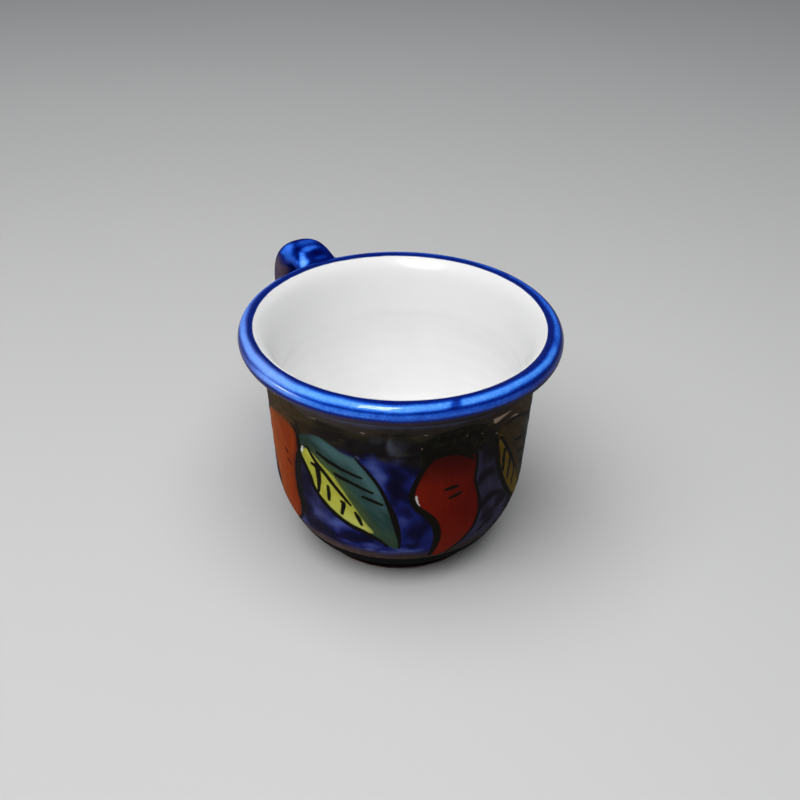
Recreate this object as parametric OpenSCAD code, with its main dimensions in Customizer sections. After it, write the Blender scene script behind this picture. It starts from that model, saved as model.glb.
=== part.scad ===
// Glazed clay mug with a rolled rim, a turned foot ring and a strap handle.
// Millimetres. Z is up, Z = 0 is the table under the foot ring, the axis of
// the bowl is the Z axis and the handle stands on +X.

/* [Bowl] */
// Outer radius of the rolled rim
rim_r = 49.6; // [48.6:0.1:51]
// Height of the top of the rolled rim over the table
cup_h = 77; // [75:0.5:80]
// Width of the rolled rim, measured across the lip
lip_w = 6.8; // [6.2:0.1:7.4]
// Height of the rolled rim from its top to its underside
lip_t = 7.4; // [6.8:0.1:8]
// Outer radius of the wall where the belly curve runs out
wall_r = 40.3; // [39.4:0.1:41.2]
// How much the wall opens in each millimetre of height
wall_flare = 0.055; // [0.04:0.005:0.065]
// Height where the belly curve runs into the wall
belly_z = 26; // [24:0.5:28]
// Height where the wall starts to sweep out to the rim
neck_z = 55; // [53:0.5:57]
// Thickness of the wall with its glaze
wall_t = 4.3; // [3.9:0.1:4.8]
// Height of the inside floor over the table
floor_z = 9; // [8.6:0.1:10]

/* [Foot] */
// Outer radius of the foot ring
foot_r = 28.2; // [27:0.1:29]
// Width of the foot ring
foot_w = 5.8; // [5:0.1:7]
// Height from the table to the underside of the bowl
foot_h = 4.2; // [3.6:0.1:4.8]

/* [Glaze] */
// Thickness of a glaze coat
glaze_t = 0.4; // [0.3:0.05:0.5]
// Height where the painted coat ends and the dark foot coat begins
paint_z = 11; // [10:0.1:13]
// Height of the dry band that is left unglazed at the foot
dry_h = 1; // [0.8:0.1:1.4]

/* [Handle] */
// Width of the strap
strap_w = 12.5; // [11.5:0.1:14]
// Thickness of the strap
strap_t = 8; // [7:0.1:8.6]
// Share of its width that the strap loses from its root to its tail
strap_taper = 0.1; // [0:0.01:0.2]
// Slope at which the strap leaves the rim, in degrees
rise_a = 31; // [28:1:34]
// Radius of the bend at the top of the loop
top_r = 11.8; // [11.2:0.1:12.5]
// Radius of the long bend at the back of the loop
back_r = 33; // [31:0.5:35]
// Angle that the long bend turns through, in degrees
back_a = 52; // [50:1:55]
// Distance from the axis of the bowl to the middle of the strap at its farthest
reach = 69.8; // [68.5:0.1:72]
// Height of the middle of the strap at its highest
crest_z = 74.7; // [73.2:0.1:75.8]
// How far the slip stands out around the strap at a joint
slip_t = 1.3; // [1:0.1:1.6]

/* [Hidden] */
$fn = 144;

// rolled rim
lip_c = rim_r - lip_w / 2;
lip_z = cup_h - lip_t / 2;
lip_b = cup_h - lip_t;
edge_a = 121;                       // where the rim colour stops on the inside
// underside of the bowl
base_r = foot_r + 0.5;
base_z = foot_h + glaze_t;          // clay underside that the foot ring is luted to
belly_p = 1.7;                      // fullness of the belly curve
floor_p = 2.6;                      // fullness of the inside floor
neck_r = wall_r + wall_flare * (neck_z - belly_z);
inner_r = neck_r - wall_t;
turn_z = 31;                        // where the inside floor curve meets the inside wall
turn_r = inner_r - wall_flare * (neck_z - turn_z);
foot_ri = foot_r - foot_w;          // clay radius of the recess under the foot

// a point of the belly curve, a = 90 at the foot and 0 at the wall
function belly(a) =
    let(z = belly_z - (belly_z - foot_h) * pow(sin(a), 2 / belly_p),
        t = (belly_z - z) / (belly_z - foot_h))
    [base_r + (wall_r - base_r) * pow(abs(cos(a)), 2 / belly_p)
         + wall_flare * (z - belly_z) * (1 - t * t), z];
paint_a = asin(pow((belly_z - paint_z) / (belly_z - foot_h), belly_p / 2));

// a point of the sweep from the wall out to the underside of the rim
function neck(a) =
    let(z = neck_z + (lip_b - neck_z) * sin(a))
    [lip_c - (lip_c - neck_r) * cos(a) + wall_flare * (z - neck_z) * pow(1 - sin(a), 2), z];

// a point of the rolled rim, -90 underneath, 0 outermost, 90 on top
function lip(a) = [lip_c + lip_w / 2 * cos(a), lip_z + lip_t / 2 * sin(a)];

// a point of the flare inside the rim
flare_a = 76;
function flare(a) =
    let(e = lip(edge_a))
    [inner_r + (e[0] - inner_r) * (1 - cos(a)) / (1 - cos(flare_a)),
     neck_z + (e[1] - neck_z) * sin(a) / sin(flare_a)];

// a point of the inside floor, 0 at the wall and 90 on the axis
function floor_pt(a) =
    [turn_r * pow(abs(cos(a)), 2 / floor_p),
     turn_z - (turn_z - floor_z) * pow(sin(a), 2 / floor_p)];

// glazed outside, foot to rim, in its separate coats
n_low = 8; n_up = 16; n_wall = 6; n_neck = 10; n_lip = 28;
low_pts  = [for (i = [0 : n_low]) belly(90 + (paint_a - 90) * i / n_low)];
wall_pts = concat([for (i = [0 : n_up]) belly(paint_a * (1 - i / n_up))],
                  [for (i = [1 : n_wall]) let(z = belly_z + (neck_z - belly_z) * i / n_wall)
                      [wall_r + wall_flare * (z - belly_z), z]],
                  [for (i = [1 : n_neck]) neck(90 * i / n_neck)]);
rim_pts  = [for (i = [0 : n_lip]) lip(-90 + (edge_a + 90) * i / n_lip)];
out_pts  = concat(low_pts, tail(wall_pts), tail(rim_pts));
i_low = len(low_pts) - 1;
i_wall = i_low + len(wall_pts) - 1;
i_rim = i_wall + len(rim_pts) - 1;

// glazed inside, rim to axis
n_flare = 12; n_in = 5; n_floor = 22;
in_pts = concat([for (i = [0 : n_flare]) flare(flare_a * (1 - i / n_flare))],
                [for (i = [1 : n_in]) let(z = neck_z + (turn_z - neck_z) * i / n_in)
                    [inner_r - wall_flare * (neck_z - z), z]],
                [for (i = [1 : n_floor]) floor_pt(90 * i / n_floor)]);

// clay surface under the coats, one glaze thickness in along the normal
all_pts = concat(out_pts, tail(in_pts));
all_clay = shift(all_pts, glaze_t);
n_all = len(all_pts);

function tail(v) = [for (i = [1 : len(v) - 1]) v[i]];
function part_of(v, a, b) = [for (i = [a : b]) v[i]];
function flip(v) = [for (i = [len(v) - 1 : -1 : 0]) v[i]];
// the path runs up the outside and down the inside, so the clay is on its left
function shift(v, d) = [for (i = [0 : len(v) - 1])
    let(a = v[max(i - 1, 0)], b = v[min(i + 1, len(v) - 1)],
        t = (b - a) / norm(b - a))
    i == 0 ? [v[i][0], v[i][1] + d]
  : i == len(v) - 1 ? [0, v[i][1] - d]
  : v[i] + d * [-t[1], t[0]]];

// middle line of the strap: a straight root, the bend over the top, the long
// bend down the back and a straight tail, all in the plane y = 0
root_len = 15;
tail_len = 29;
bend_x = reach - top_r;
bend_z = crest_z - top_r;
long_x = reach - back_r;
len_a = root_len;
len_b = len_a + top_r * (90 + rise_a) * PI / 180;
len_c = len_b + back_r * back_a * PI / 180;
len_d = len_c + tail_len;
// [x, z, direction x, direction z] at the length s along it
function mid(s) =
    s <= len_a ?
        [bend_x - top_r * sin(rise_a) - (len_a - s) * cos(rise_a),
         bend_z + top_r * cos(rise_a) - (len_a - s) * sin(rise_a), cos(rise_a), sin(rise_a)]
  : s <= len_b ? let(f = 90 + rise_a - (s - len_a) / top_r * 180 / PI)
        [bend_x + top_r * cos(f), bend_z + top_r * sin(f), sin(f), -cos(f)]
  : s <= len_c ? let(f = -(s - len_b) / back_r * 180 / PI)
        [long_x + back_r * cos(f), bend_z + back_r * sin(f), sin(f), -cos(f)]
  :     [long_x + back_r * cos(back_a) - (s - len_c) * sin(back_a),
         bend_z - back_r * sin(back_a) - (s - len_c) * cos(back_a), -sin(back_a), -cos(back_a)];
// oval section of the strap at the length s, grown by g on every side
sides = 26;
oval_p = 2.4;
function bow(v) = sign(v) * pow(abs(v), 2 / oval_p);
function ring(s, g) =
    let(m = mid(s), w = strap_w / 2 * (1 - strap_taper * max(0, s - len_a) / len_d) + g,
        h = strap_t / 2 + g)
    [for (j = [0 : sides - 1]) let(b = 360 * j / sides, n = h * bow(sin(b)))
        [m[0] - n * m[3], w * bow(cos(b)), m[1] + n * m[2]]];
// slip squeezed out around the strap: how far it stands out at the length s
slip_a = len_a - 1.6;
slip_b = len_c + 15;
function slip(s) =
    s <= slip_a ? slip_t * (0.25 + 0.75 * pow(min(1, (slip_a - s) / 7), 1.5))
  : s >= slip_b ? slip_t * (0.25 + 0.75 * pow(min(1, (s - slip_b) / 10), 1.5)) : 0;
// lengths at which the sections stand
root_s = [-5, len_a * 0.4, len_a * 0.62, len_a * 0.78];
loop_s = concat([for (i = [0 : 16]) len_a + (len_b - len_a) * i / 16],
                [for (i = [1 : 9]) len_b + (len_c - len_b) * i / 9], [len_c + 8]);
tail_s = [slip_b + 4, slip_b + 8, len_d, len_d + 5];

// closed skin over sections that are all of the same length
function at(i, j) = i * sides + j % sides;
function skin(n) = [for (i = [0 : n - 2], j = [0 : sides - 1], k = [0, 1])
    k == 0 ? [at(i, j), at(i + 1, j), at(i + 1, j + 1)] : [at(i, j), at(i + 1, j + 1), at(i, j + 1)]];
module solid_sweep(rings) {
    n = len(rings);
    polyhedron([for (r = rings) each r],
        concat(skin(n), [[for (j = [0 : sides - 1]) j]],
               [[for (j = [sides - 1 : -1 : 0]) at(n - 1, j)]]));
}
// tube between an outer and an inner run of sections
module tube_sweep(outer, inner) {
    n = len(outer);
    m = len(inner);
    o = n * sides;
    polyhedron(concat([for (r = outer) each r], [for (r = inner) each r]),
        concat(skin(n), [for (f = skin(m)) [o + f[2], o + f[1], o + f[0]]],
            [for (j = [0 : sides - 1], k = [0, 1]) k == 0 ? [at(0, j), at(0, j + 1), o + at(0, j + 1)]
                                                         : [at(0, j), o + at(0, j + 1), o + at(0, j)]],
            [for (j = [0 : sides - 1], k = [0, 1]) k == 0 ? [at(n - 1, j + 1), at(n - 1, j), o + at(m - 1, j)]
                                                         : [at(n - 1, j + 1), o + at(m - 1, j), o + at(m - 1, j + 1)]]));
}
up_s = concat(root_s, [slip_a]);
low_s = concat([slip_b], tail_s);
// room that the glazed root and tail of the handle take up in the coats of the bowl
module root_room() { solid_sweep([for (s = up_s) ring(s, slip(s) + glaze_t)]); }
module tail_room() { solid_sweep([for (s = low_s) ring(s, slip(s) + glaze_t)]); }
// the bowl filled in to its clay surface
module filled() {
    rotate_extrude() polygon(concat([[0, base_z]], part_of(all_clay, 0, i_rim),
        [[0, all_clay[i_rim][1]]]));
}
// a coat of glaze between two points of the path
module coat(a, b) {
    rotate_extrude() polygon(concat(part_of(all_pts, a, b), flip(part_of(all_clay, a, b))));
}

module clay_body() {
    color([0.72, 0.42, 0.28]) rotate_extrude()
        polygon(concat([[0, base_z]], all_clay));
}

module foot_ring() {
    ro = foot_r - glaze_t;
    c = 0.7;
    color([0.74, 0.45, 0.30]) rotate_extrude()
        polygon([[foot_ri, c], [foot_ri + c, 0], [ro - c, 0], [ro, c], [ro, base_z], [foot_ri, base_z]]);
}

module handle() {
    color([0.72, 0.42, 0.28]) difference() {
        solid_sweep([for (s = concat(root_s, loop_s, [slip_b], tail_s)) ring(s, 0)]);
        filled();
    }
}

module upper_slip_joint() {
    color([0.66, 0.38, 0.26]) difference() {
        tube_sweep([for (s = up_s) ring(s, slip(s))], [for (s = up_s) ring(s, 0)]);
        filled();
    }
}

module lower_slip_joint() {
    color([0.66, 0.38, 0.26]) difference() {
        tube_sweep([for (s = low_s) ring(s, slip(s))], [for (s = low_s) ring(s, 0)]);
        filled();
    }
}

module inside_glaze() { color([0.90, 0.90, 0.89]) coat(i_rim, n_all - 1); }

module rim_glaze() {
    color([0.10, 0.28, 0.78]) difference() {
        coat(i_wall, i_rim);
        root_room();
    }
}

module painted_wall_glaze() {
    color([0.12, 0.16, 0.42]) difference() {
        coat(i_low, i_wall);
        root_room();
        tail_room();
    }
}

module foot_glaze() {
    ro = foot_r - glaze_t;
    color([0.05, 0.05, 0.07]) rotate_extrude()
        polygon(concat([[ro, dry_h], [foot_r, dry_h + 0.5], [foot_r, foot_h - 0.8],
                        [foot_r + 0.15, foot_h - 0.25]],
                       part_of(all_pts, 0, i_low), flip(part_of(all_clay, 0, i_low)),
                       [[ro, base_z]]));
}

module base_glaze() {
    ri = foot_ri - glaze_t;
    color([0.86, 0.85, 0.82]) rotate_extrude()
        polygon([[0, foot_h], [ri - 0.9, foot_h], [ri - 0.3, foot_h - 0.3], [ri, foot_h - 0.9],
                 [ri, dry_h + 0.5], [foot_ri, dry_h], [foot_ri, base_z], [0, base_z]]);
}

module handle_glaze() {
    color([0.10, 0.30, 0.80]) difference() {
        tube_sweep([for (s = concat(up_s, loop_s, low_s)) ring(s, slip(s) + glaze_t)],
            concat([for (s = up_s) ring(s, slip(s))], [ring(slip_a, 0)],
                   [for (s = loop_s) ring(s, 0)],
                   [ring(slip_b, 0)], [for (s = low_s) ring(s, slip(s))]));
        filled();
    }
}

clay_body();
foot_ring();
handle();
upper_slip_joint();
lower_slip_joint();
inside_glaze();
rim_glaze();
painted_wall_glaze();
foot_glaze();
base_glaze();
handle_glaze();
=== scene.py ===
import math

import bpy
import numpy as np
from mathutils import Matrix, Vector


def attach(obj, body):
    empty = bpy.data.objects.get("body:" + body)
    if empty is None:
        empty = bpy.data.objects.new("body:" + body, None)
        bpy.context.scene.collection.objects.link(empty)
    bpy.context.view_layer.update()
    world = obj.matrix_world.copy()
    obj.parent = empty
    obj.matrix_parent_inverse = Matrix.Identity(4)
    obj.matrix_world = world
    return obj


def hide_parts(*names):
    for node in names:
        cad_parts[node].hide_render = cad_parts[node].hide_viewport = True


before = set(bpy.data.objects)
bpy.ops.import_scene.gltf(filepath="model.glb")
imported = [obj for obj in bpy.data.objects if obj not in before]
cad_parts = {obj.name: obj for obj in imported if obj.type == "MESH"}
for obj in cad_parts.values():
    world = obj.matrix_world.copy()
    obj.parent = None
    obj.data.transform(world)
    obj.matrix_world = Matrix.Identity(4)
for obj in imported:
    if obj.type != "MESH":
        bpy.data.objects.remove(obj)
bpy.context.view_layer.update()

MM = 0.001
PI = math.pi
scene = bpy.context.scene
scene.view_settings.view_transform = "Standard"
scene.view_settings.look = "None"


def lin(r, g, b):
    """A colour given as it looks on a screen (0 to 255), as linear light."""
    out = []
    for c in (r, g, b):
        c = c / 255.0
        out.append(c / 12.92 if c <= 0.04045 else ((c + 0.055) / 1.055) ** 2.4)
    return out


# ---------------------------------------------------------------- camera
# The look-at point is on the axis of the bowl, and the handle (+X) stands at the back left.
CAM_AZ, CAM_EL, CAM_ROLL = math.radians(-124.0), math.radians(33.42), math.radians(0.86)
CAM_D = 0.340
LOOK = Vector((0.0, 0.0, 0.04725))
TO_CAM = Vector((math.sin(CAM_AZ) * math.cos(CAM_EL), -math.cos(CAM_AZ) * math.cos(CAM_EL), math.sin(CAM_EL)))
RIGHT = Vector((math.cos(CAM_AZ), math.sin(CAM_AZ), 0.0))          # right in the picture
FRONT = Vector((math.sin(CAM_AZ), -math.cos(CAM_AZ), 0.0))         # towards the viewer, on the floor

cam_data = bpy.data.cameras.new("camera")
cam_data.lens = 47.77
cam_data.sensor_width = 36.0
cam_data.clip_start = 0.01
cam_data.clip_end = 50.0
cam = bpy.data.objects.new("camera", cam_data)
scene.collection.objects.link(cam)
up = TO_CAM.cross(RIGHT).normalized()
rot = Matrix((RIGHT, up, TO_CAM)).transposed().to_4x4()
cam.matrix_world = Matrix.Translation(LOOK + TO_CAM * CAM_D) @ rot @ Matrix.Rotation(CAM_ROLL, 4, "Z")
scene.camera = cam


# ---------------------------------------------------------------- node helper
class Nodes:
    """Short names for building a node tree."""

    def __init__(self, name):
        self.mat = bpy.data.materials.new(name)
        self.mat.use_nodes = True
        self.t = self.mat.node_tree
        self.t.nodes.clear()
        self.out = self.t.nodes.new("ShaderNodeOutputMaterial")
        self.bsdf = self.t.nodes.new("ShaderNodeBsdfPrincipled")
        self.t.links.new(self.bsdf.outputs[0], self.out.inputs[0])

    def put(self, sock, v):
        if isinstance(v, bpy.types.NodeSocket):
            self.t.links.new(v, sock)
        elif isinstance(v, (tuple, list)):
            n = len(sock.default_value)
            sock.default_value = (list(v) + [1.0])[:n]
        else:
            sock.default_value = v

    def set(self, name, v):
        self.put(self.bsdf.inputs[name], v)

    def math(self, op, a, b=0.0, c=0.0, clamp=False):
        n = self.t.nodes.new("ShaderNodeMath")
        n.operation = op
        n.use_clamp = clamp
        self.put(n.inputs[0], a)
        if len(n.inputs) > 1:
            self.put(n.inputs[1], b)
        if len(n.inputs) > 2:
            self.put(n.inputs[2], c)
        return n.outputs[0]

    def add(self, a, b):
        return self.math("ADD", a, b)

    def mul(self, a, b):
        return self.math("MULTIPLY", a, b)

    def step(self, v, lo, hi, a=0.0, b=1.0):
        """Smooth step of v from a (at lo) to b (at hi)."""
        n = self.t.nodes.new("ShaderNodeMapRange")
        n.interpolation_type = "SMOOTHSTEP"
        n.clamp = True
        if lo > hi:
            lo, hi, a, b = hi, lo, b, a
        for i, x in ((0, v), (1, lo), (2, hi), (3, a), (4, b)):
            self.put(n.inputs[i], x)
        return n.outputs[0]

    def mix(self, f, a, b, blend="MIX"):
        n = self.t.nodes.new("ShaderNodeMix")
        n.data_type = "RGBA"
        n.blend_type = blend
        n.clamp_factor = True
        self.put(n.inputs[0], f)
        self.put(n.inputs[6], a)
        self.put(n.inputs[7], b)
        return n.outputs[2]

    def ramp(self, f, stops, mode="LINEAR"):
        n = self.t.nodes.new("ShaderNodeValToRGB")
        n.color_ramp.interpolation = mode
        e = n.color_ramp.elements
        while len(e) > 1:
            e.remove(e[-1])
        e[0].position = stops[0][0]
        e[0].color = list(stops[0][1]) + [1.0]
        for p, c in stops[1:]:
            x = e.new(p)
            x.color = list(c) + [1.0]
        self.put(n.inputs[0], f)
        return n.outputs[0]

    def attr(self, name, vector=False):
        n = self.t.nodes.new("ShaderNodeAttribute")
        n.attribute_name = name
        return n.outputs["Vector"] if vector else n.outputs["Fac"]

    def coords(self):
        return self.t.nodes.new("ShaderNodeTexCoord").outputs["Object"]

    def mapped(self, v, scale=(1, 1, 1), rot=(0, 0, 0), loc=(0, 0, 0)):
        n = self.t.nodes.new("ShaderNodeMapping")
        self.put(n.inputs["Vector"], v)
        n.inputs["Scale"].default_value = scale
        n.inputs["Rotation"].default_value = rot
        n.inputs["Location"].default_value = loc
        return n.outputs[0]

    def along(self, v, angle, length, width):
        """Coordinates turned by angle and stretched: one unit is length along that direction and width across it."""
        n = self.t.nodes.new("ShaderNodeMapping")
        n.vector_type = "TEXTURE"
        self.put(n.inputs["Vector"], v)
        n.inputs["Rotation"].default_value = (0, 0, angle)
        n.inputs["Scale"].default_value = (length, width, 1.0)
        return n.outputs[0]

    def noise(self, v, scale, detail=3.0, rough=0.5, dist=0.0):
        n = self.t.nodes.new("ShaderNodeTexNoise")
        self.put(n.inputs["Vector"], v)
        n.inputs["Scale"].default_value = scale
        n.inputs["Detail"].default_value = detail
        n.inputs["Roughness"].default_value = rough
        n.inputs["Distortion"].default_value = dist
        return n.outputs[0]

    def cells(self, v, scale, feature="F1", rnd=1.0):
        n = self.t.nodes.new("ShaderNodeTexVoronoi")
        n.feature = feature
        self.put(n.inputs["Vector"], v)
        n.inputs["Scale"].default_value = scale
        n.inputs["Randomness"].default_value = rnd
        return n.outputs[0]

    def bump(self, h, dist, strength=1.0, normal=None):
        n = self.t.nodes.new("ShaderNodeBump")
        n.inputs["Strength"].default_value = strength
        n.inputs["Distance"].default_value = dist
        self.put(n.inputs["Height"], h)
        if normal is not None:
            self.put(n.inputs["Normal"], normal)
        return n.outputs[0]


# ---------------------------------------------------------------- profile of the bowl, in millimetres
RIM_R, CUP_H, LIP_W, LIP_T = 49.6, 77.0, 6.8, 7.4
WALL_R, FLARE, BELLY_Z, NECK_Z, WALL_T, FLOOR_Z = 40.3, 0.055, 26.0, 55.0, 4.3, 9.0
FOOT_R, FOOT_W, FOOT_H, GLAZE, PAINT_Z, DRY_H = 28.2, 5.8, 4.2, 0.4, 11.0, 1.0
LIP_C, LIP_Z, LIP_B = RIM_R - LIP_W / 2, CUP_H - LIP_T / 2, CUP_H - LIP_T
EDGE_A = math.radians(121)
BASE_R, BASE_Z = FOOT_R + 0.5, FOOT_H + GLAZE
BELLY_P, FLOOR_P = 1.7, 2.6
NECK_R = WALL_R + FLARE * (NECK_Z - BELLY_Z)
INNER_R = NECK_R - WALL_T
TURN_Z = 31.0
TURN_R = INNER_R - FLARE * (NECK_Z - TURN_Z)
FOOT_RI = FOOT_R - FOOT_W


def belly(a):
    z = BELLY_Z - (BELLY_Z - FOOT_H) * np.sin(a) ** (2 / BELLY_P)
    t = (BELLY_Z - z) / (BELLY_Z - FOOT_H)
    r = BASE_R + (WALL_R - BASE_R) * np.abs(np.cos(a)) ** (2 / BELLY_P) + FLARE * (z - BELLY_Z) * (1 - t * t)
    return np.stack([r, z], -1)


PAINT_A = math.asin(((BELLY_Z - PAINT_Z) / (BELLY_Z - FOOT_H)) ** (BELLY_P / 2))


def neck(a):
    z = NECK_Z + (LIP_B - NECK_Z) * np.sin(a)
    r = LIP_C - (LIP_C - NECK_R) * np.cos(a) + FLARE * (z - NECK_Z) * (1 - np.sin(a)) ** 2
    return np.stack([r, z], -1)


def lip(a):
    return np.stack([LIP_C + LIP_W / 2 * np.cos(a), LIP_Z + LIP_T / 2 * np.sin(a)], -1)


def flare(a):
    e = lip(np.array(EDGE_A))
    fa = math.radians(76)
    return np.stack([INNER_R + (e[0] - INNER_R) * (1 - np.cos(a)) / (1 - math.cos(fa)),
                     NECK_Z + (e[1] - NECK_Z) * np.sin(a) / math.sin(fa)], -1)


def floor_curve(a):
    return np.stack([TURN_R * np.abs(np.cos(a)) ** (2 / FLOOR_P),
                     TURN_Z - (TURN_Z - FLOOR_Z) * np.sin(a) ** (2 / FLOOR_P)], -1)


def even(pts, n):
    """n + 1 points evenly spaced along a polyline."""
    d = np.r_[0, np.cumsum(np.hypot(*np.diff(pts, axis=0).T))]
    s = np.linspace(0, d[-1], n + 1)
    return np.stack([np.interp(s, d, pts[:, k]) for k in (0, 1)], -1)


LOW_PTS = belly(np.linspace(PI / 2, PAINT_A, 200))
WALL_PTS = np.vstack([belly(np.linspace(PAINT_A, 0, 300)),
                      [[WALL_R + FLARE * (z - BELLY_Z), z] for z in np.linspace(BELLY_Z, NECK_Z, 200)[1:]],
                      neck(np.linspace(0, PI / 2, 200))[1:]])
RIM_PTS = lip(np.linspace(-PI / 2, EDGE_A, 300))
IN_PTS = np.vstack([flare(np.linspace(math.radians(76), 0, 200)),
                    [[INNER_R - FLARE * (NECK_Z - z), z] for z in np.linspace(NECK_Z, TURN_Z, 100)[1:]],
                    floor_curve(np.linspace(0, PI / 2, 400))[1:]])


def smooth(x, a, b):
    t = np.clip((x - a) / (b - a), 0, 1)
    return t * t * (3 - 2 * t)


def hand(P):
    """The slight unevenness of a hand-made bowl, the same for every coat so that they still meet."""
    x, y, z = P[..., 0], P[..., 1], P[..., 2]
    t = np.arctan2(y, x)
    k = smooth(z, 4, 70)
    dr = k * (0.09 * np.sin(2 * t + 0.7) + 0.05 * np.sin(3 * t - 1.2) + 0.03 * np.sin(5 * t + 2.2))
    ring = smooth(z, 12, 20) * (1 - smooth(z, 58, 66))
    dr = dr + ring * (0.035 * np.sin(2 * PI * z / 6.1 + 0.5 * np.sin(t) + t) + 0.02 * np.sin(2 * PI * z / 3.3 + 2 * t))
    dz = smooth(z, 58, 77) * (0.10 * np.sin(2 * t + 2.1) + 0.05 * np.sin(3 * t))
    r = np.hypot(x, y)
    s = np.where(r > 1e-6, (r + dr * smooth(r, 4, 20)) / np.maximum(r, 1e-6), 1.0)
    return np.stack([x * s, y * s, z + dz], -1)


# ---------------------------------------------------------------- mesh helpers
def make(name, verts_mm, faces, node, flat=0):
    me = bpy.data.meshes.new(name)
    v = np.asarray(verts_mm, float) * MM
    me.from_pydata(v.tolist(), [], faces)
    me.validate()
    me.update()
    # the last faces only close the ends of a coat: they stay flat and do not bend the shading of its glazed face
    me.polygons.foreach_set("use_smooth", np.arange(len(me.polygons)) < len(me.polygons) - flat)
    ob = bpy.data.objects.new(name, me)
    scene.collection.objects.link(ob)
    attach(ob, "root")
    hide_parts(node)
    return ob


def add_attr(ob, name, values):
    a = ob.data.attributes.new(name, "FLOAT", "POINT")
    a.data.foreach_set("value", np.asarray(values, np.float32).ravel())


def add_vec(ob, name, values):
    a = ob.data.attributes.new(name, "FLOAT_VECTOR", "POINT")
    a.data.foreach_set("vector", np.asarray(values, np.float32).ravel())


# angles run from the handle all the way round, and 0 faces the viewer
SEAM = math.atan2(RIGHT.x, FRONT.x)


def spin(theta):
    """Direction on the floor at the angle theta from the viewer, to the right in the picture."""
    c, s = np.cos(theta), np.sin(theta)
    return np.stack([c * FRONT.x + s * RIGHT.x, c * FRONT.y + s * RIGHT.y], -1)


def turned(prof, n):
    """Points of a profile turned about the axis: rows x n x 3."""
    th = SEAM + 2 * PI * np.arange(n) / n
    d = spin(th)
    return np.concatenate([prof[:, None, :1] * d[None, :, :], np.broadcast_to(prof[:, None, 1:], (len(prof), n, 1))], -1), th


def grid_faces(rows, n, base=0, flip=False):
    i, j = np.meshgrid(np.arange(rows - 1), np.arange(n), indexing="ij")
    k = (j + 1) % n
    q = np.stack([i * n + j, i * n + k, (i + 1) * n + k, (i + 1) * n + j], -1).reshape(-1, 4) + base
    return (q[:, ::-1] if flip else q).tolist()


def normals_2d(p):
    t = np.gradient(p, axis=0)
    t /= np.maximum(np.linalg.norm(t, axis=1), 1e-9)[:, None]
    return np.stack([-t[:, 1], t[:, 0]], -1)


def stitch(a, na, b, nb, flip=False):
    """Faces between a fine ring (na points from index a) and a coarse one (nb points from b)."""
    k = na // nb
    out = []
    for j in range(nb):
        jb, jb2 = b + j, b + (j + 1) % nb
        h = k // 2
        for i in range(k):
            p, q = a + j * k + i, a + (j * k + i + 1) % na
            out.append([p, q, jb] if i < h else [p, q, jb2])
            if i == h - 1:
                out.append([q, jb2, jb])
    return [f[::-1] for f in out] if flip else out


def shell(name, prof, n, depth, n_in, rows_in, node, flip=False):
    """A closed coat: the fine glazed face along prof, and a plain face under it, depth millimetres in on the left."""
    P, th = turned(prof, n)
    P = hand(P)
    inner = prof + depth * normals_2d(prof)
    pick = np.linspace(0, len(prof) - 1, rows_in).round().astype(int)
    Q, _ = turned(inner[pick], n_in)
    Q = hand(Q)
    rows = len(prof)
    V = np.vstack([P.reshape(-1, 3), Q.reshape(-1, 3)])
    b = rows * n
    F = grid_faces(rows, n, 0, flip) + grid_faces(rows_in, n_in, b, not flip)
    ends = stitch(0, n, b, n_in, not flip) + stitch((rows - 1) * n, n, b + (rows_in - 1) * n_in, n_in, flip)
    ob = make(name, V, F + ends, node, len(ends))
    return ob, P, th, len(V) - b


def with_under(v, rows, n, rows_in, n_in):
    """Values of the glazed face, then the same values again for the plain face under it."""
    g = np.asarray(v, float).reshape(rows, n, -1)
    pick = np.linspace(0, rows - 1, rows_in).round().astype(int)
    return np.vstack([g.reshape(rows * n, -1), g[pick][:, ::n // n_in].reshape(rows_in * n_in, -1)])


def lay_flat(ob, rows, n, rows_in, n_in, across, down):
    """Map for baking: the glazed face as across x down strips, and the hidden faces in a thin band above them."""
    me = ob.data
    vi, start, total = np.empty(len(me.loops), np.int32), np.empty(len(me.polygons), np.int32), np.empty(len(me.polygons), np.int32)
    me.loops.foreach_get("vertex_index", vi)
    me.polygons.foreach_get("loop_start", start)
    me.polygons.foreach_get("loop_total", total)
    face = np.repeat(np.arange(len(total)), total)
    b, n_out, n_und = rows * n, (rows - 1) * n, (rows_in - 1) * n_in
    outer = vi < b
    col = np.where(outer, (vi % n) / n, ((vi - b) % n_in) / n_in)
    row = np.where(outer, (vi // n) / (rows - 1), ((vi - b) // n_in) / (rows_in - 1))
    wide = np.maximum.reduceat(col, start) - np.minimum.reduceat(col, start) > 0.5
    col = np.where(wide[face] & (col < 0.5), col + 1, col)
    count = across * down
    strip = (face % n) * count // n
    w, h, g = 1 / across, 0.94 / down, 0.005
    u = (strip % across) * w + g + (col * count - strip) * (w - 2 * g)
    v = (strip // across) * h + g + row * (h - 2 * g)
    hid = face >= n_out
    u = np.where(hid, 0.002 + 0.99 * col, u)
    v = np.where(hid, 0.945 + 0.033 * row, v)
    seam = face - n_out - n_und
    v = np.where(seam >= 0, np.where(seam < n + n_in, 0.982, 0.991) + np.where(outer, 0.0, 0.006), v)
    layer = me.uv_layers.new(name="OFBake", do_init=False)
    layer.uv.foreach_set("vector", np.stack([u, v], -1).astype(np.float32).ravel())


# ---------------------------------------------------------------- painted band: shapes in millimetres
# u runs round the wall (0 faces the viewer, right is positive), z is the height.
REF_R = 41.0
ROUND = 2 * PI * REF_R


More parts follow.
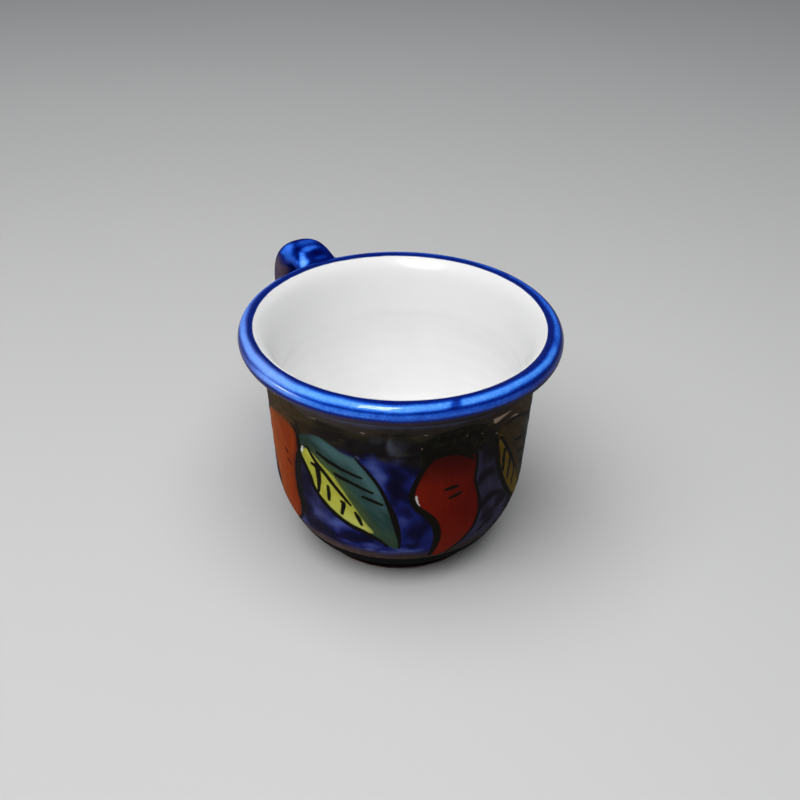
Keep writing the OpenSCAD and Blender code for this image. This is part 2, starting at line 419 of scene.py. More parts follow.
def curve(pts, n=10, closed=False):
    """Smooth line through points (Catmull-Rom)."""
    p = np.asarray(pts, float)
    if closed:
        q = np.vstack([p[-1], p, p[0], p[1]])
        m = len(p)
    else:
        q = np.vstack([2 * p[0] - p[1], p, 2 * p[-1] - p[-2]])
        m = len(p) - 1
    out = []
    for i in range(m):
        a, b, c, d = q[i], q[i + 1], q[i + 2], q[i + 3]
        for s in np.arange(n) / n:
            out.append(0.5 * (2 * b + (c - a) * s + (2 * a - 5 * b + 4 * c - d) * s * s + (3 * b - a - 3 * c + d) * s ** 3))
    if not closed:
        out.append(p[-1])
    return np.array(out)


LEAF = [(-32.2, 47.0), (-32.4, 50.4), (-32.6, 53.6), (-29.6, 55.7), (-24.8, 57.0), (-20.5, 55.8), (-17.0, 54.3), (-14.4, 53.6), (-12.6, 53.1),
        (-11.6, 51.8), (-8.8, 48.2), (-5.6, 43.0), (-3.4, 37.5), (-1.7, 32.0), (-0.4, 26.5), (0.4, 21.5), (-0.4, 18.2), (-3.4, 19.9),
        (-6.3, 22.7), (-10.2, 25.1), (-14.8, 26.8), (-19.6, 29.5), (-24.1, 32.8), (-27.3, 36.6), (-28.9, 41.0),
        (-30.8, 44.2)]
YELLOW = [(-31.9, 47.4), (-31.1, 49.5), (-29.0, 50.4), (-26.9, 49.5), (-24.1, 47.3), (-21.9, 45.7), (-19.8, 44.0), (-17.5, 40.8),
          (-15.2, 37.2), (-13.3, 34.2), (-12.0, 31.9), (-9.8, 28.6), (-7.7, 25.4), (-10.4, 25.4), (-14.8, 26.9),
          (-19.5, 29.6), (-24.0, 32.9), (-27.2, 36.7), (-28.8, 41.0), (-30.6, 44.2)]
LEAF_INK = [
    ([(-12.6, 53.4), (-11.4, 51.8), (-8.3, 48.1), (-5.3, 43.0), (-3.2, 37.8), (-1.5, 32.8), (-0.3, 27.6), (0.4, 23.0),
      (0.5, 19.0)], [.2, .3, .38, .4, .5, .8, .75, .4, .25]),
    ([(-32.5, 46.8), (-30.9, 43.8), (-29.1, 40.8), (-27.5, 36.5), (-24.3, 32.6), (-19.7, 29.2), (-14.7, 26.5),
      (-10.2, 24.9), (-6.1, 22.5), (-3.4, 19.7)], [.5, .75, .7, .6, .65, .7, .65, .6, .5, .35]),
    ([(-32.5, 47.0), (-33.3, 49.8), (-33.2, 53.0)], [.5, .4, .25]),
    ([(-29.4, 51.2), (-26.0, 47.0), (-21.6, 42.6), (-17.6, 38.1), (-14.6, 34.8)], [.3, .58, .58, .5, .3]),
    ([(-27.8, 45.6), (-26.2, 45.3), (-24.7, 45.5)], [.4, .6, .4]),
    ([(-25.7, 45.4), (-25.3, 41.5), (-25.5, 38.5), (-25.8, 35.8)], [.9, .75, .55, .3]),
    ([(-22.1, 39.4), (-21.9, 36.8), (-22.0, 34.2)], [.4, .55, .4]),
    ([(-17.7, 35.4), (-16.9, 34.6), (-17.2, 32.6), (-17.6, 30.4)], [.3, .6, .52, .35]),
    ([(-13.2, 32.2), (-12.2, 30.4), (-11.2, 27.8)], [.3, .6, .35]),
    ([(-25.3, 50.8), (-21.5, 49.3), (-16.0, 47.6), (-11.0, 46.2)], [.35, .5, .42, .32]),
    ([(-19.3, 45.3), (-17.5, 44.6), (-13.0, 43.2), (-7.7, 41.2)], [.42, .58, .42, .32]),
    ([(-10.7, 39.1), (-8.5, 38.4), (-4.9, 37.0)], [.32, .42, .34]),
]
LEAF_GAP = [([(-31.6, 48.4), (-31.2, 50.2)], [.48, .36])]
# the leaf that turns away at the right, painted by hand again
SIDE_LEAF = [(30.6, 56.0), (31.2, 52.5), (31.7, 49.5), (32.4, 46.5), (33.4, 43.0), (34.8, 39.5), (36.7, 35.6), (39.0, 31.7), (42.0, 27.6),
             (45.5, 23.6), (49.0, 20.0), (52.5, 17.0), (54.5, 20.5), (56.0, 26.0), (57.0, 32.0), (57.0, 38.0), (55.5, 44.0), (52.5, 49.5),
             (48.5, 53.5), (44.0, 56.2), (39.0, 57.8), (34.0, 58.0)]
SIDE_YELLOW = [(30.8, 55.2), (31.2, 52.5), (31.7, 49.5), (32.4, 46.5), (33.4, 43.0), (34.8, 39.5), (36.7, 35.6), (39.0, 31.7), (42.0, 27.6),
               (45.5, 23.6), (50.0, 20.5), (51.0, 22.5), (48.1, 29.0), (44.2, 35.6), (39.9, 42.1), (37.7, 47.2), (34.9, 52.0), (32.6, 55.2)]
SIDE_LEAF_INK = [
    ([(30.4, 56.0), (31.0, 52.5), (31.5, 49.5), (32.2, 46.5), (33.2, 43.0), (34.6, 39.5), (36.5, 35.5), (38.8, 31.5), (41.8, 27.4), (45.3, 23.4),
      (48.8, 19.8), (52.4, 16.9)], [.5, .7, .75, .75, .75, .75, .75, .75, .7, .65, .6, .4]),
    ([(32.2, 54.5), (34.5, 51.5), (37.2, 47.0), (40.1, 42.5), (44.0, 36.0)], [.35, .5, .5, .5, .3]),
    ([(35.2, 48.2), (35.4, 44.0), (36.0, 39.8)], [.45, .55, .35]),
    ([(39.1, 42.6), (39.2, 39.0), (39.0, 35.1)], [.4, .5, .35]),
    ([(43.0, 36.5), (43.2, 33.0), (42.8, 30.0)], [.35, .45, .3]),
    ([(34.0, 58.2), (39.0, 58.0), (44.0, 56.4), (48.5, 53.7), (52.7, 49.6), (55.7, 44.0), (57.2, 38.0), (57.2, 32.0), (56.2, 26.0), (54.6, 20.3), (52.6, 16.9)],
     [.3, .45, .5, .55, .6, .6, .65, .75, .7, .5, .3]),
    ([(41.0, 48.5), (46.0, 46.5), (50.0, 45.5)], [.3, .45, .35]),
    ([(44.5, 42.0), (49.0, 40.0), (53.0, 39.0)], [.3, .45, .35]),
    ([(48.0, 35.5), (51.0, 34.5), (54.0, 33.8)], [.3, .42, .3]),
]
SIDE_LEAF_GAP = [([(30.3, 56.5), (30.7, 56.1)], [.4, .3])]

CHILE = [(9.3, 53.9), (13.0, 54.6), (17.5, 54.2), (21.5, 52.6), (23.3, 52.0), (23.5, 47.0), (23.4, 42.3), (24.6, 38.0),
         (25.9, 33.2), (26.2, 28.8), (25.1, 24.0), (22.9, 19.8), (19.9, 16.2), (16.5, 13.2), (11.3, 13.2), (12.4, 18.0),
         (12.7, 21.5), (12.3, 25.6), (11.2, 29.6), (8.8, 33.0), (6.0, 35.9), (4.6, 39.2), (4.7, 43.0), (6.2, 48.0)]
CHILE_INK = [
    ([(9.8, 54.4), (7.6, 51.5), (5.8, 47.9), (4.2, 43.0), (3.9, 39.8), (5.2, 36.2), (8.2, 33.0), (10.8, 29.6), (12.1, 25.4),
      (12.3, 20.5), (11.1, 14.0)], [.45, .58, .62, .68, .74, .86, 1.0, 1.1, 1.12, 1.0, .7]),
    ([(23.6, 52.4), (23.9, 46.8), (23.8, 42.2), (25.0, 38.0), (26.4, 33.0), (26.6, 28.8), (25.5, 23.8), (23.3, 19.4),
      (20.1, 16.0), (17.0, 13.0)], [.3, .34, .3, .36, .42, .4, .42, .48, .42, .35]),
    ([(9.4, 54.2), (13.5, 55.0), (17.5, 54.4), (20.8, 52.4), (22.2, 51.0)], [.45, .4, .5, .55, .25]),
    ([(13.9, 41.6), (15.9, 42.0), (18.0, 42.1)], [.3, .5, .3]),
    ([(15.6, 38.0), (17.4, 38.5), (19.2, 39.2)], [.3, .48, .3]),
]
CHILE_GAP = [([(5.2, 40.6), (5.3, 38.6), (6.2, 36.5)], [.3, .5, .28])]
# the chile that turns away at the left
SIDE_CHILE = [(-47.0, 54.8), (-43.2, 56.6), (-39.7, 57.2), (-36.9, 56.5), (-34.4, 54.8), (-33.3, 52.2), (-33.5, 48.4), (-34.9, 44.8), (-35.9, 40.5),
              (-36.3, 35.5), (-36.0, 30.9), (-35.0, 26.6), (-35.0, 23.5), (-36.2, 20.6), (-38.5, 17.6), (-41.6, 14.8), (-46.6, 13.2), (-48.3, 17.5),
              (-49.0, 21.5), (-49.8, 25.5), (-51.2, 29.6), (-53.4, 33.0), (-55.8, 36.2), (-57.2, 40.0), (-57.2, 44.0), (-55.6, 48.4), (-52.2, 52.4)]
SIDE_CHILE_INK = [
    ([(-35.4, 56.2), (-34.0, 55.0), (-32.9, 52.3), (-33.0, 48.4), (-34.4, 44.7), (-35.4, 40.5), (-35.8, 35.5), (-35.5, 30.9), (-34.5, 26.6),
      (-34.5, 23.4), (-35.7, 20.4), (-38.2, 17.3), (-41.5, 14.5)], [.15, .35, .5, .42, .3, .28, .28, .28, .3, .36, .4, .4, .3]),
    ([(-47.0, 13.4), (-48.7, 17.5), (-49.4, 21.5), (-50.2, 25.5), (-51.6, 29.6), (-53.9, 32.8), (-56.4, 36.0), (-57.8, 40.0), (-57.8, 44.2), (-56.1, 48.8), (-52.8, 53.0)],
     [.6, .9, 1.0, 1.1, 1.05, 1.0, .95, .9, .9, .85, .5]),
    ([(-41.0, 44.2), (-39.9, 43.6), (-39.5, 42.9)], [.2, .28, .2]), ([(-40.4, 40.4), (-39.2, 40.2), (-38.2, 39.4)], [.2, .3, .22]),
]
SIDE_CHILE_GAP = [([(-56.5, 41.0), (-56.4, 39.0), (-55.5, 37.0)], [.3, .5, .28])]
SIDE_CAP = [(-54.5, 50.6), (-55.8, 55.2), (-54.2, 59.4), (-51.0, 62.0), (-47.6, 62.6), (-46.4, 59.4), (-47.0, 55.6), (-49.2, 54.2), (-52.4, 52.4)]
SIDE_CAP_INK = [([(-54.8, 56.4), (-53.4, 55.2), (-51.2, 55.6)], [.4, .6, .4]), ([(-52.0, 60.0), (-49.8, 60.6)], [.3, .45])]
CAP = [(5.4, 51.4), (6.0, 56.0), (7.8, 60.0), (10.8, 62.8), (15.0, 64.1), (19.0, 64.3), (23.0, 63.5), (26.3, 61.4),
       (26.6, 57.0), (24.2, 52.2), (21.5, 52.6), (17.5, 54.3), (13.0, 54.8), (9.3, 54.1), (7.4, 51.8)]
CAP_INK = [
    ([(7.0, 57.5), (8.6, 55.8), (11.5, 55.9), (13.4, 57.6)], [.5, .7, .6, .3]),
    ([(15.4, 56.6), (17.6, 57.8), (20.4, 56.6), (21.6, 54.2)], [.3, .6, .7, .4]),
    ([(11.0, 60.8), (14.4, 61.4), (17.2, 60.2)], [.3, .5, .3]),
    ([(20.6, 61.2), (23.0, 59.6), (24.4, 57.0)], [.3, .6, .5]),
]
CAP_GAP = [([(13.2, 61.9), (14.6, 61.6)], [.12, .22]), ([(19.0, 60.6), (19.5, 60.3)], [.16, .2]),
           ([(24.2, 59.5), (24.9, 58.9)], [.18, .12]), ([(6.2, 58.4), (6.3, 58.0)], [.2, .2])]


def placed(pts, du, rng, size=1.0, turn=0.0, wob=0.0, mid=(0, 36), dz=0.0):
    """A motif's points moved round the wall, with the small differences of a shape that is painted again by hand."""
    p = np.asarray(pts, float)
    c, s = math.cos(turn), math.sin(turn)
    m = np.asarray(mid)
    q = (p - m) * size
    q = np.stack([c * q[:, 0] - s * q[:, 1], s * q[:, 0] + c * q[:, 1]], -1) + m
    if wob:
        a, b, f, g = rng
        q = q + wob * np.stack([np.sin(q[:, 1] * 0.23 + a) + 0.5 * np.sin(q[:, 1] * 0.51 + b),
                                np.sin(q[:, 0] * 0.27 + f) + 0.5 * np.sin(q[:, 0] * 0.49 + g)], -1)
    return q + [du, dz]


class Canvas:
    """Distances, in millimetres, from every point of the wall to the painted shapes."""

    def __init__(self, u, z):
        self.u, self.z = u.ravel(), z.ravel()
        self.shape = u.shape

    def near(self, pts, pad):
        """Points near a shape, with u brought to the same turn of the wall as the shape."""
        lo, hi = pts.min(0) - pad, pts.max(0) + pad
        mid = (lo[0] + hi[0]) / 2
        u = self.u - ROUND * np.round((self.u - mid) / ROUND)
        k = np.nonzero((u > lo[0]) & (u < hi[0]) & (self.z > lo[1]) & (self.z < hi[1]))[0]
        return k, np.stack([u[k], self.z[k]], -1)

    @staticmethod
    def to_segments(X, a, b):
        """Nearest distance squared and place along each segment: points x segments."""
        d = b - a
        L = np.maximum((d * d).sum(1), 1e-9)
        t = np.clip(((X[:, None, :] - a) * d).sum(2) / L, 0, 1)
        e = X[:, None, :] - (a + t[..., None] * d)
        return (e * e).sum(2), t

    def fill(self, field, pts, pad=5.0):
        """Signed distance to a closed shape (negative inside), kept where it is the smallest."""
        poly = curve(pts, 8, True)
        k, X = self.near(poly, pad)
        a, b = poly, np.roll(poly, -1, 0)
        for s in range(0, len(k), 4000):
            kk, x = k[s:s + 4000], X[s:s + 4000]
            d2, _ = self.to_segments(x, a, b)
            d = np.sqrt(d2.min(1))
            up = (a[:, 1] > x[:, 1:2]) != (b[:, 1] > x[:, 1:2])
            with np.errstate(divide="ignore", invalid="ignore"):
                cx = (b[:, 0] - a[:, 0]) * (x[:, 1:2] - a[:, 1]) / (b[:, 1] - a[:, 1]) + a[:, 0]
            inside = (up & (x[:, 0:1] < cx)).sum(1) % 2 == 1
            field[kk] = np.minimum(field[kk], np.where(inside, -d, d))

    def stroke(self, field, pts, half, pad=3.0):
        """Brush line of varying half width: below 0 inside it, smooth across its middle."""
        p = curve(pts, 6)
        w = np.interp(np.linspace(0, len(pts) - 1, len(p)), np.arange(len(pts)), half)
        k, X = self.near(p, pad)
        a, b, wa, wb = p[:-1], p[1:], w[:-1], w[1:]
        for s in range(0, len(k), 6000):
            kk, x = k[s:s + 6000], X[s:s + 6000]
            d2, t = self.to_segments(x, a, b)
            h = wa + (wb - wa) * t
            v = ((d2 - h * h) / (2 * h)).min(1)
            field[kk] = np.minimum(field[kk], np.clip(v, -3, 3))

    def dab(self, field, cu, cz, a, b, turn, dark, soft=0.55):
        """A watery oval touch of the brush."""
        p = np.array([(cu - a * 1.6 - b * 1.6, cz - a * 1.6 - b * 1.6), (cu + a * 1.6 + b * 1.6, cz + a * 1.6 + b * 1.6)])
        k, X = self.near(p, 0.0)
        x = X - [cu, cz]
        x = x + 0.16 * min(a, b) * np.stack([np.sin(X[:, 1] * 0.9 + cu) + np.sin(X[:, 0] * 0.7 + cz), np.sin(X[:, 0] * 0.8 + 2 * cz) + np.sin(X[:, 1] * 0.75 + cu)], -1)
        c, s = math.cos(turn), math.sin(turn)
        x = np.stack([c * x[:, 0] + s * x[:, 1], -s * x[:, 0] + c * x[:, 1]], -1)
        e = np.hypot(x[:, 0] / a, x[:, 1] / b)
        v = dark * (1 - smooth(e, 1 - soft, 1 + 0.55 * soft))
        field[k] = 1 - (1 - field[k]) * (1 - np.clip(v, 0, 1))

    def soft_stroke(self, field, pts, half, dark, edge=0.9):
        p = curve(pts, 6)
        w = np.interp(np.linspace(0, len(pts) - 1, len(p)), np.arange(len(pts)), half)
        k, X = self.near(p, 4.0)
        a, b = p[:-1], p[1:]
        d2, t = self.to_segments(X, a, b)
        h = w[:-1] + (w[1:] - w[:-1]) * t
        v = (np.sqrt(d2) - h).min(1)
        m = dark * (1 - smooth(v, -edge, edge * 0.6))
        field[k] = 1 - (1 - field[k]) * (1 - m)


def round_table(x, pairs, period=360.0):
    """Value round the bowl from a few (place, value) pairs."""
    a = np.array([q[0] for q in pairs], float)
    v = np.array([q[1] for q in pairs], float)
    return np.interp(x, np.r_[a - period, a, a + period], np.r_[v, v, v])


def paint(u, z):
    """All the painted fields of the wall."""
    cv = Canvas(u, z)
    n = u.size
    rnd = np.random.default_rng(20)
    far = lambda: np.full(n, 5.0)
    leaf, yellow, chile, cap, ink, gap = far(), far(), far(), far(), np.full(n, 3.0), np.full(n, 3.0)
    dabs, pale, sheen_streak, shade, murk = (np.zeros(n) for _ in range(5))
    # (shift round the wall, size, turn, unevenness, rise, tone) of each leaf and chile; the first of each faces the
    # viewer; a tone of 1.0 is orange painted light on the side chile at the left and brown painted shade on the side
    # leaf at the right, the other tones vary the paint
    leaves = [(0.0, 1.0, 0.0, 0.0, 0.0, 0.0), (60.0, 1.0, 0.0, 0.0, 0.0, 1.0), (121.5, 0.97, -0.03, 0.4, 0.6, 0.15), (-64.6, 0.98, 0.03, 0.4, 0.3, 0.35)]
    chiles = [(0.0, 1.0, 0.0, 0.0, 0.0, 0.0), (-61.0, 1.03, 0.0, 0.3, 0.4, 1.0), (62.6, 0.99, 0.03, 0.4, 0.0, 0.2), (118.6, 0.97, -0.03, 0.4, 0.3, 0.5)]
    turn_to = lambda c: (cv.u - c + ROUND / 2) % ROUND - ROUND / 2
    near_l = np.argmin([np.abs(turn_to(-16 + q[0])) for q in leaves], 0)
    near_c = np.argmin([np.abs(turn_to(15 + q[0])) for q in chiles], 0)
    leaf_tone_and_shade = np.array([q[5] for q in leaves])[near_l]
    chile_tone_and_light = np.array([q[5] for q in chiles])[near_c]
    # the brown painted shade of the side leaf fades out where the leaf turns out of view
    leaf_tone_and_shade = np.where(near_l == 1, 1 - 0.8 * smooth(turn_to(0.0), 46, 57), leaf_tone_and_shade)
    side_c = turn_to(15 + np.array([q[0] for q in chiles])[near_c]) / 11.0
    side_l = turn_to(-16 + np.array([q[0] for q in leaves])[near_l]) / 16.0
    for i, (du, size, turn, wob, dz, _) in enumerate(leaves):
        ph = rnd.uniform(0, 6.28, 4)
        go = lambda q: np.array(q) if i == 1 else placed(q, du, ph, size, turn, wob, (-16, 37), dz)
        cv.fill(leaf, go(SIDE_LEAF if i == 1 else LEAF))
        cv.fill(yellow, go(SIDE_YELLOW if i == 1 else YELLOW))
        for q, w in SIDE_LEAF_INK if i == 1 else LEAF_INK:
            cv.stroke(ink, go(q), w)
        for q, w in SIDE_LEAF_GAP if i == 1 else LEAF_GAP:
            cv.stroke(gap, go(q), w)
    for i, (du, size, turn, wob, dz, _) in enumerate(chiles):
        ph = rnd.uniform(0, 6.28, 4)
        go = lambda q: placed(q, du, ph, size, turn, wob, (15, 36), dz)
        cv.fill(chile, np.array(SIDE_CHILE) if i == 1 else go(CHILE))
        for q, w in SIDE_CHILE_INK if i == 1 else CHILE_INK:
            cv.stroke(ink, np.array(q) if i == 1 else go(q), w)
        cv.fill(cap, np.array(SIDE_CAP) if i == 1 else go(CAP))
        for q, w in SIDE_CAP_INK if i == 1 else CAP_INK:
            cv.stroke(ink, np.array(q) if i == 1 else go(q), w)
        for q, w in SIDE_CHILE_GAP if i == 1 else CAP_GAP + CHILE_GAP:
            cv.stroke(gap, np.array(q) if i == 1 else go(q), w)
    # bare glaze between the touches of the border under the rim
    for q, w in [([(-10.9, 63.5), (-10.0, 63.2), (-9.3, 63.5)], [.12, .3, .12]), ([(6.7, 63.4), (7.6, 63.2)], [.22, .2]),
                 ([(28.2, 62.9), (29.4, 62.0), (31.6, 62.3), (35.4, 62.6)], [.3, 1.05, .68, .12]), ([(35.4, 59.8), (38.3, 59.3), (42.7, 56.7)], [.14, .38, .14]),
                 ([(-26.4, 63.4), (-24.6, 63.6)], [.1, .22]),
                 ([(-47.0, 62.6), (-44.0, 62.2)], [.15, .35]), ([(58.0, 63.0), (60.0, 62.7)], [.15, .3]),
                 ([(90.0, 62.6), (93.0, 62.2)], [.25, .5]), ([(104.0, 63.2), (105.5, 63.0)], [.15, .25]),
                 ([(-72.0, 63.0), (-70.0, 62.8)], [.15, .35]), ([(-90.0, 62.5), (-88.4, 62.3)], [.2, .3])]:
        cv.stroke(gap, np.array(q), w)
    # grey streaks of painted sheen beside the leaf and above the ground, repeated round the wall
    for d in [(-2.2, 59.0, 1.3, 3.2, 0.06, .9, .95), (-0.2, 57.8, 2.6, 4.0, 0.0, .4, .9), (-6.5, 61.0, 2.5, 1.8, 0.0, .18), (-12.0, 53.6, .9, .5, -.5, .6), (62.0, 58.5, 2.4, 4.0, 0.0, .3, .95), (-66.0, 59.0, 2.6, 3.4, 0.0, .25, .95),
              (122.0, 58.6, 2.4, 4.0, 0.0, .3, .95)]:
        cv.dab(sheen_streak, *d)
    # shade along the right edge of the chile at the left
    cv.soft_stroke(shade, np.array([(-37.4, 57.6), (-34.9, 54.9), (-34.0, 52.1), (-34.2, 48.5), (-35.6, 44.9), (-36.6, 40.5), (-37.0, 35.5), (-36.7, 30.9), (-35.8, 26.6), (-35.8, 23.5), (-39.0, 18.2)]),
                   [.4, .7, .8, .8, .8, .8, .8, .8, .8, .7, .5], .75, 1.1)
    # murky overlaps of the colours: beside the chile at the left, above the leaf at the right, over the cap of the chile in front
    for q, w, k in [([(-33.2, 57.4), (-31.8, 53.2), (-31.8, 48.6), (-33.0, 44.6), (-34.0, 40.5), (-34.4, 35.5), (-34.1, 30.9), (-33.1, 26.6), (-33.2, 22.6)], [1.2, 1.4, 1.5, 1.8, 2.0, 2.0, 1.9, 1.7, 1.1], .95),
                    ([(36.5, 58.4), (40.0, 57.0), (44.0, 53.8)], [.5, 1.0, .7], .8), ([(41.0, 52.6), (44.0, 50.6)], [.8, .8], .5),
                    ([(6.0, 59.0), (11.0, 60.4), (17.0, 61.0), (23.0, 60.2), (27.4, 57.2)], [1.8, 2.4, 2.6, 2.6, 1.8], .8),
                    ([(28.6, 58.0), (29.0, 53.0), (29.4, 47.0)], [1.5, 1.5, .9], .85),
                    ([(68.6, 59.0), (75.0, 60.6), (82.0, 60.6), (89.0, 58.0)], [1.8, 2.4, 2.4, 1.8], .8), ([(-130.0, 59.0), (-124.0, 60.6), (-117.0, 59.0)], [1.8, 2.4, 1.8], .8)]:
        cv.soft_stroke(murk, np.array(q), w, k, 1.5)
    # blue ground: dark and pale touches of the brush that face the viewer, then the rest of the wall; the long dark
    # touch at u 29, z 44 is painted shade
    for d in [(-0.9, 45.2, 3.4, 7.4, 0.04, 1.0), (3.6, 52.0, 3.6, 3.2, .2, .8), (5.4, 26.6, 4.0, 4.8, .1, .6), (3.9, 19.6, 3.0, 2.6, 0, .5),
              (2.2, 40.5, 2.2, 3.0, .4, .6), (2.0, 34.0, 2.4, 2.4, 0, .4), (8.8, 29.6, 2.0, 3.2, .3, .6),
              (-24.6, 20.0, 5.0, 3.9, .35, .7), (-15.0, 21.4, 5.2, 3.2, .3, .9), (-10.0, 22.2, 2.4, 2.8, -.2, .85),
              (-31.0, 36.0, 3.2, 6.4, .15, .6), (-31.6, 26.0, 3.0, 5.0, .3, .6), (-30.4, 19.0, 3.2, 3.2, 0, .7), (-20.0, 16.4, 3.8, 2.0, .1, .5),
              (-12.4, 55.6, 3.0, 2.0, 0, .8), (31.0, 25.0, 3.0, 4.0, .5, .7), (28.4, 53.0, 3.4, 6.0, 0, .7), (29.0, 44.0, 4.5, 12.0, 0, .45)]:
        cv.dab(dabs, *d)
    for d in [(-6.4, 49.2, 2.8, 6.0, .5, .8), (1.6, 17.6, 3.4, 1.7, 0, .75), (6.0, 17.2, 2.4, 1.6, 0, .6), (-3.0, 15.9, 4.4, 1.1, 0, .7), (2.0, 30.6, 2.6, 3.0, 0, .5), (4.0, 22.0, 2.2, 1.8, 0, .4),
              (-20.2, 25.4, 4.0, 3.0, .5, .85), (-16.2, 25.6, 2.4, 1.6, .4, .6), (-26.4, 26.6, 3.6, 3.2, .4, .8), (-8.0, 18.8, 3.0, 1.6, 0, .6), (-18.6, 18.4, 2.4, 1.6, 0, .5),
              (-9.4, 16.8, 1.8, .7, .1, .9), (-5.0, 16.6, 1.6, .6, -.1, .8),
              (29.4, 37.6, 3.0, 3.0, 0, .35), (27.6, 46.6, 2.4, 3.4, 0, .35), (0.6, 54.2, 2.0, 1.6, 0, .35)]:
        cv.dab(pale, *d, 0.75)
    for q, w, k in [([(25.3, 40.4), (26.6, 42.6), (28.6, 43.4), (30.8, 42.0)], [.9, 1.3, 1.4, 1.0], .85),
                    ([(27.4, 29.4), (29.4, 31.8), (32.4, 32.6), (36.0, 31.0)], [1.0, 1.6, 1.6, 1.2], .9),
                    ([(26.4, 49.6), (28.0, 51.2), (30.0, 50.4)], [.6, .9, .8], .5), ([(28.6, 19.2), (31.0, 21.4), (34.2, 21.6)], [1.0, 1.4, 1.0], .75),
                    ([(-29.6, 23.0), (-27.0, 25.0), (-23.4, 24.6)], [.7, .9, .7], .4)]:
        cv.soft_stroke(dabs, np.array(q), w, k, 1.3)
    rows = [15.5, 22.0, 28.5, 35.0, 41.5, 48.0, 54.0]
    for i, zz in enumerate(rows):
        for j in range(34):
            uu = ROUND * (j + 0.5 * (i % 2) + rnd.uniform(-.24, .24)) / 34
            uu = (uu + ROUND / 2) % ROUND - ROUND / 2
            v = rnd.uniform(0, 1, 6)
            if -34 < uu < 36:
                continue
            if v[0] < 0.45:
                cv.dab(dabs, uu, zz + 2.4 * (v[1] - .5), 2.4 + 1.9 * v[2], 2.8 + 3.0 * v[3], 1.2 * (v[4] - .5), .55 + .4 * v[5])
            elif v[0] < 0.7:
                cv.dab(pale, uu, zz + 2.4 * (v[1] - .5), 2.2 + 1.4 * v[2], 2.4 + 2.0 * v[3], 1.2 * (v[4] - .5), .5 + .4 * v[5], .75)
            else:
                w = 2.6 + 1.8 * v[2]
                h = 1.4 + 1.6 * v[3]
                cv.soft_stroke(dabs, np.array([(uu - w, zz - h), (uu - w * .5, zz + h * .5), (uu + w * .4, zz + h * .7), (uu + w, zz - h * .5)]),
                               [.8, 1.3, 1.3, .8], .6 + .35 * v[5], 1.3)
    # scalloped dark border under the rim: distance from its upper and lower edge
    s = np.abs(np.cos(PI * (cv.u + 10.0) / (ROUND / 15) + PI / 2))
    top = 61.9 + 2.1 * s ** 0.55 + 0.35 * np.sin(cv.u * 2 * PI * 7 / ROUND + 1.0)
    low = round_table(cv.u, [(-128, 56), (-72, 55), (-58, 49), (-46, 50), (-37, 52), (-30, 51), (-22, 53), (-18, 54), (-12, 54.6), (-7, 55.8), (-3, 53), (5, 52), (28, 54), (60, 56)], ROUND)
    low = low + 0.5 * np.sin(cv.u * 2 * PI * 17 / ROUND + 2.0)
    # slow changes round the wall: brown painted reflection on the border and the cap, a slate ground that on the right
    # side is painted shade and reflection, and a grey that is paler on the lit left side as painted light
    brown_reflection = round_table(cv.u, [(-128, .5), (-100, .8), (-75, .3), (-60, .9), (-38, 1), (-25, .15), (-10, 0), (20, 0), (28, .2), (42, 1), (60, .8), (85, .2), (105, .7)], ROUND)
    slate_and_shade = round_table(cv.u, [(-128, .3), (-95, .6), (-70, .1), (-40, .45), (-30, .55), (-25, .5), (-20, .1), (-14, 0), (15, 0), (20, .85), (27, .95), (48, 1), (64, .5), (80, .1), (105, .5)], ROUND)
    lit_side = round_table(cv.u, [(-128, .5), (-60, .9), (-40, 1), (-16, .9), (0, .35), (16, .1), (30, .1), (60, .4), (100, .7)], ROUND)
    return dict(leaf=leaf, yellow=yellow, chile=chile, cap=cap, ink=ink, gap=gap, dabs=dabs, pale=pale, sheen_streak=sheen_streak, shade=shade,
                leaf_tone_and_shade=leaf_tone_and_shade, chile_tone_and_light=chile_tone_and_light, side_c=side_c, side_l=side_l, murk=murk, edge_top=cv.z - top, edge_low=low - cv.z, brown_reflection=brown_reflection, slate_and_shade=slate_and_shade, lit_side=lit_side)


# ---------------------------------------------------------------- pieces
N_WALL = 640
wall_prof = even(WALL_PTS, 136)
UNDER = (len(wall_prof), N_WALL, 60, 160)
wall, P, TH, n_under = shell("painted_wall", wall_prof, N_WALL, 0.36, 160, 60, "painted_wall_glaze")
TH2 = np.broadcast_to(TH, P.shape[:2])
U = TH2 * REF_R
Z = np.broadcast_to(wall_prof[:, None, 1], P.shape[:2])
lay_flat(wall, *UNDER, 2, 2)
fields = paint(U, Z)
for name, v in fields.items():
    add_attr(wall, name, with_under(v, *UNDER))
add_vec(wall, "flat", with_under(np.stack([U, Z, 0 * Z], -1), *UNDER))

rim_prof = even(RIM_PTS, 72)
UNDER = (len(rim_prof), N_WALL, 25, 160)
rim, P, TH, n_under = shell("blue_rim", rim_prof, N_WALL, 0.36, 160, 25, "rim_glaze")
lay_flat(rim, *UNDER, 1, 5)
ang = np.linspace(-90, 121, len(rim_prof))
AA = np.repeat(ang, N_WALL).reshape(len(rim_prof), N_WALL)
TT = np.broadcast_to(np.degrees(TH), AA.shape)
TT = (TT + 180) % 360 - 180                                # 0 faces the viewer, right is positive
tr = np.radians(TT)


ragged = 1.3 * np.sin(11 * tr + 1.0 + AA / 40) + 0.8 * np.sin(29 * tr + 2.0)
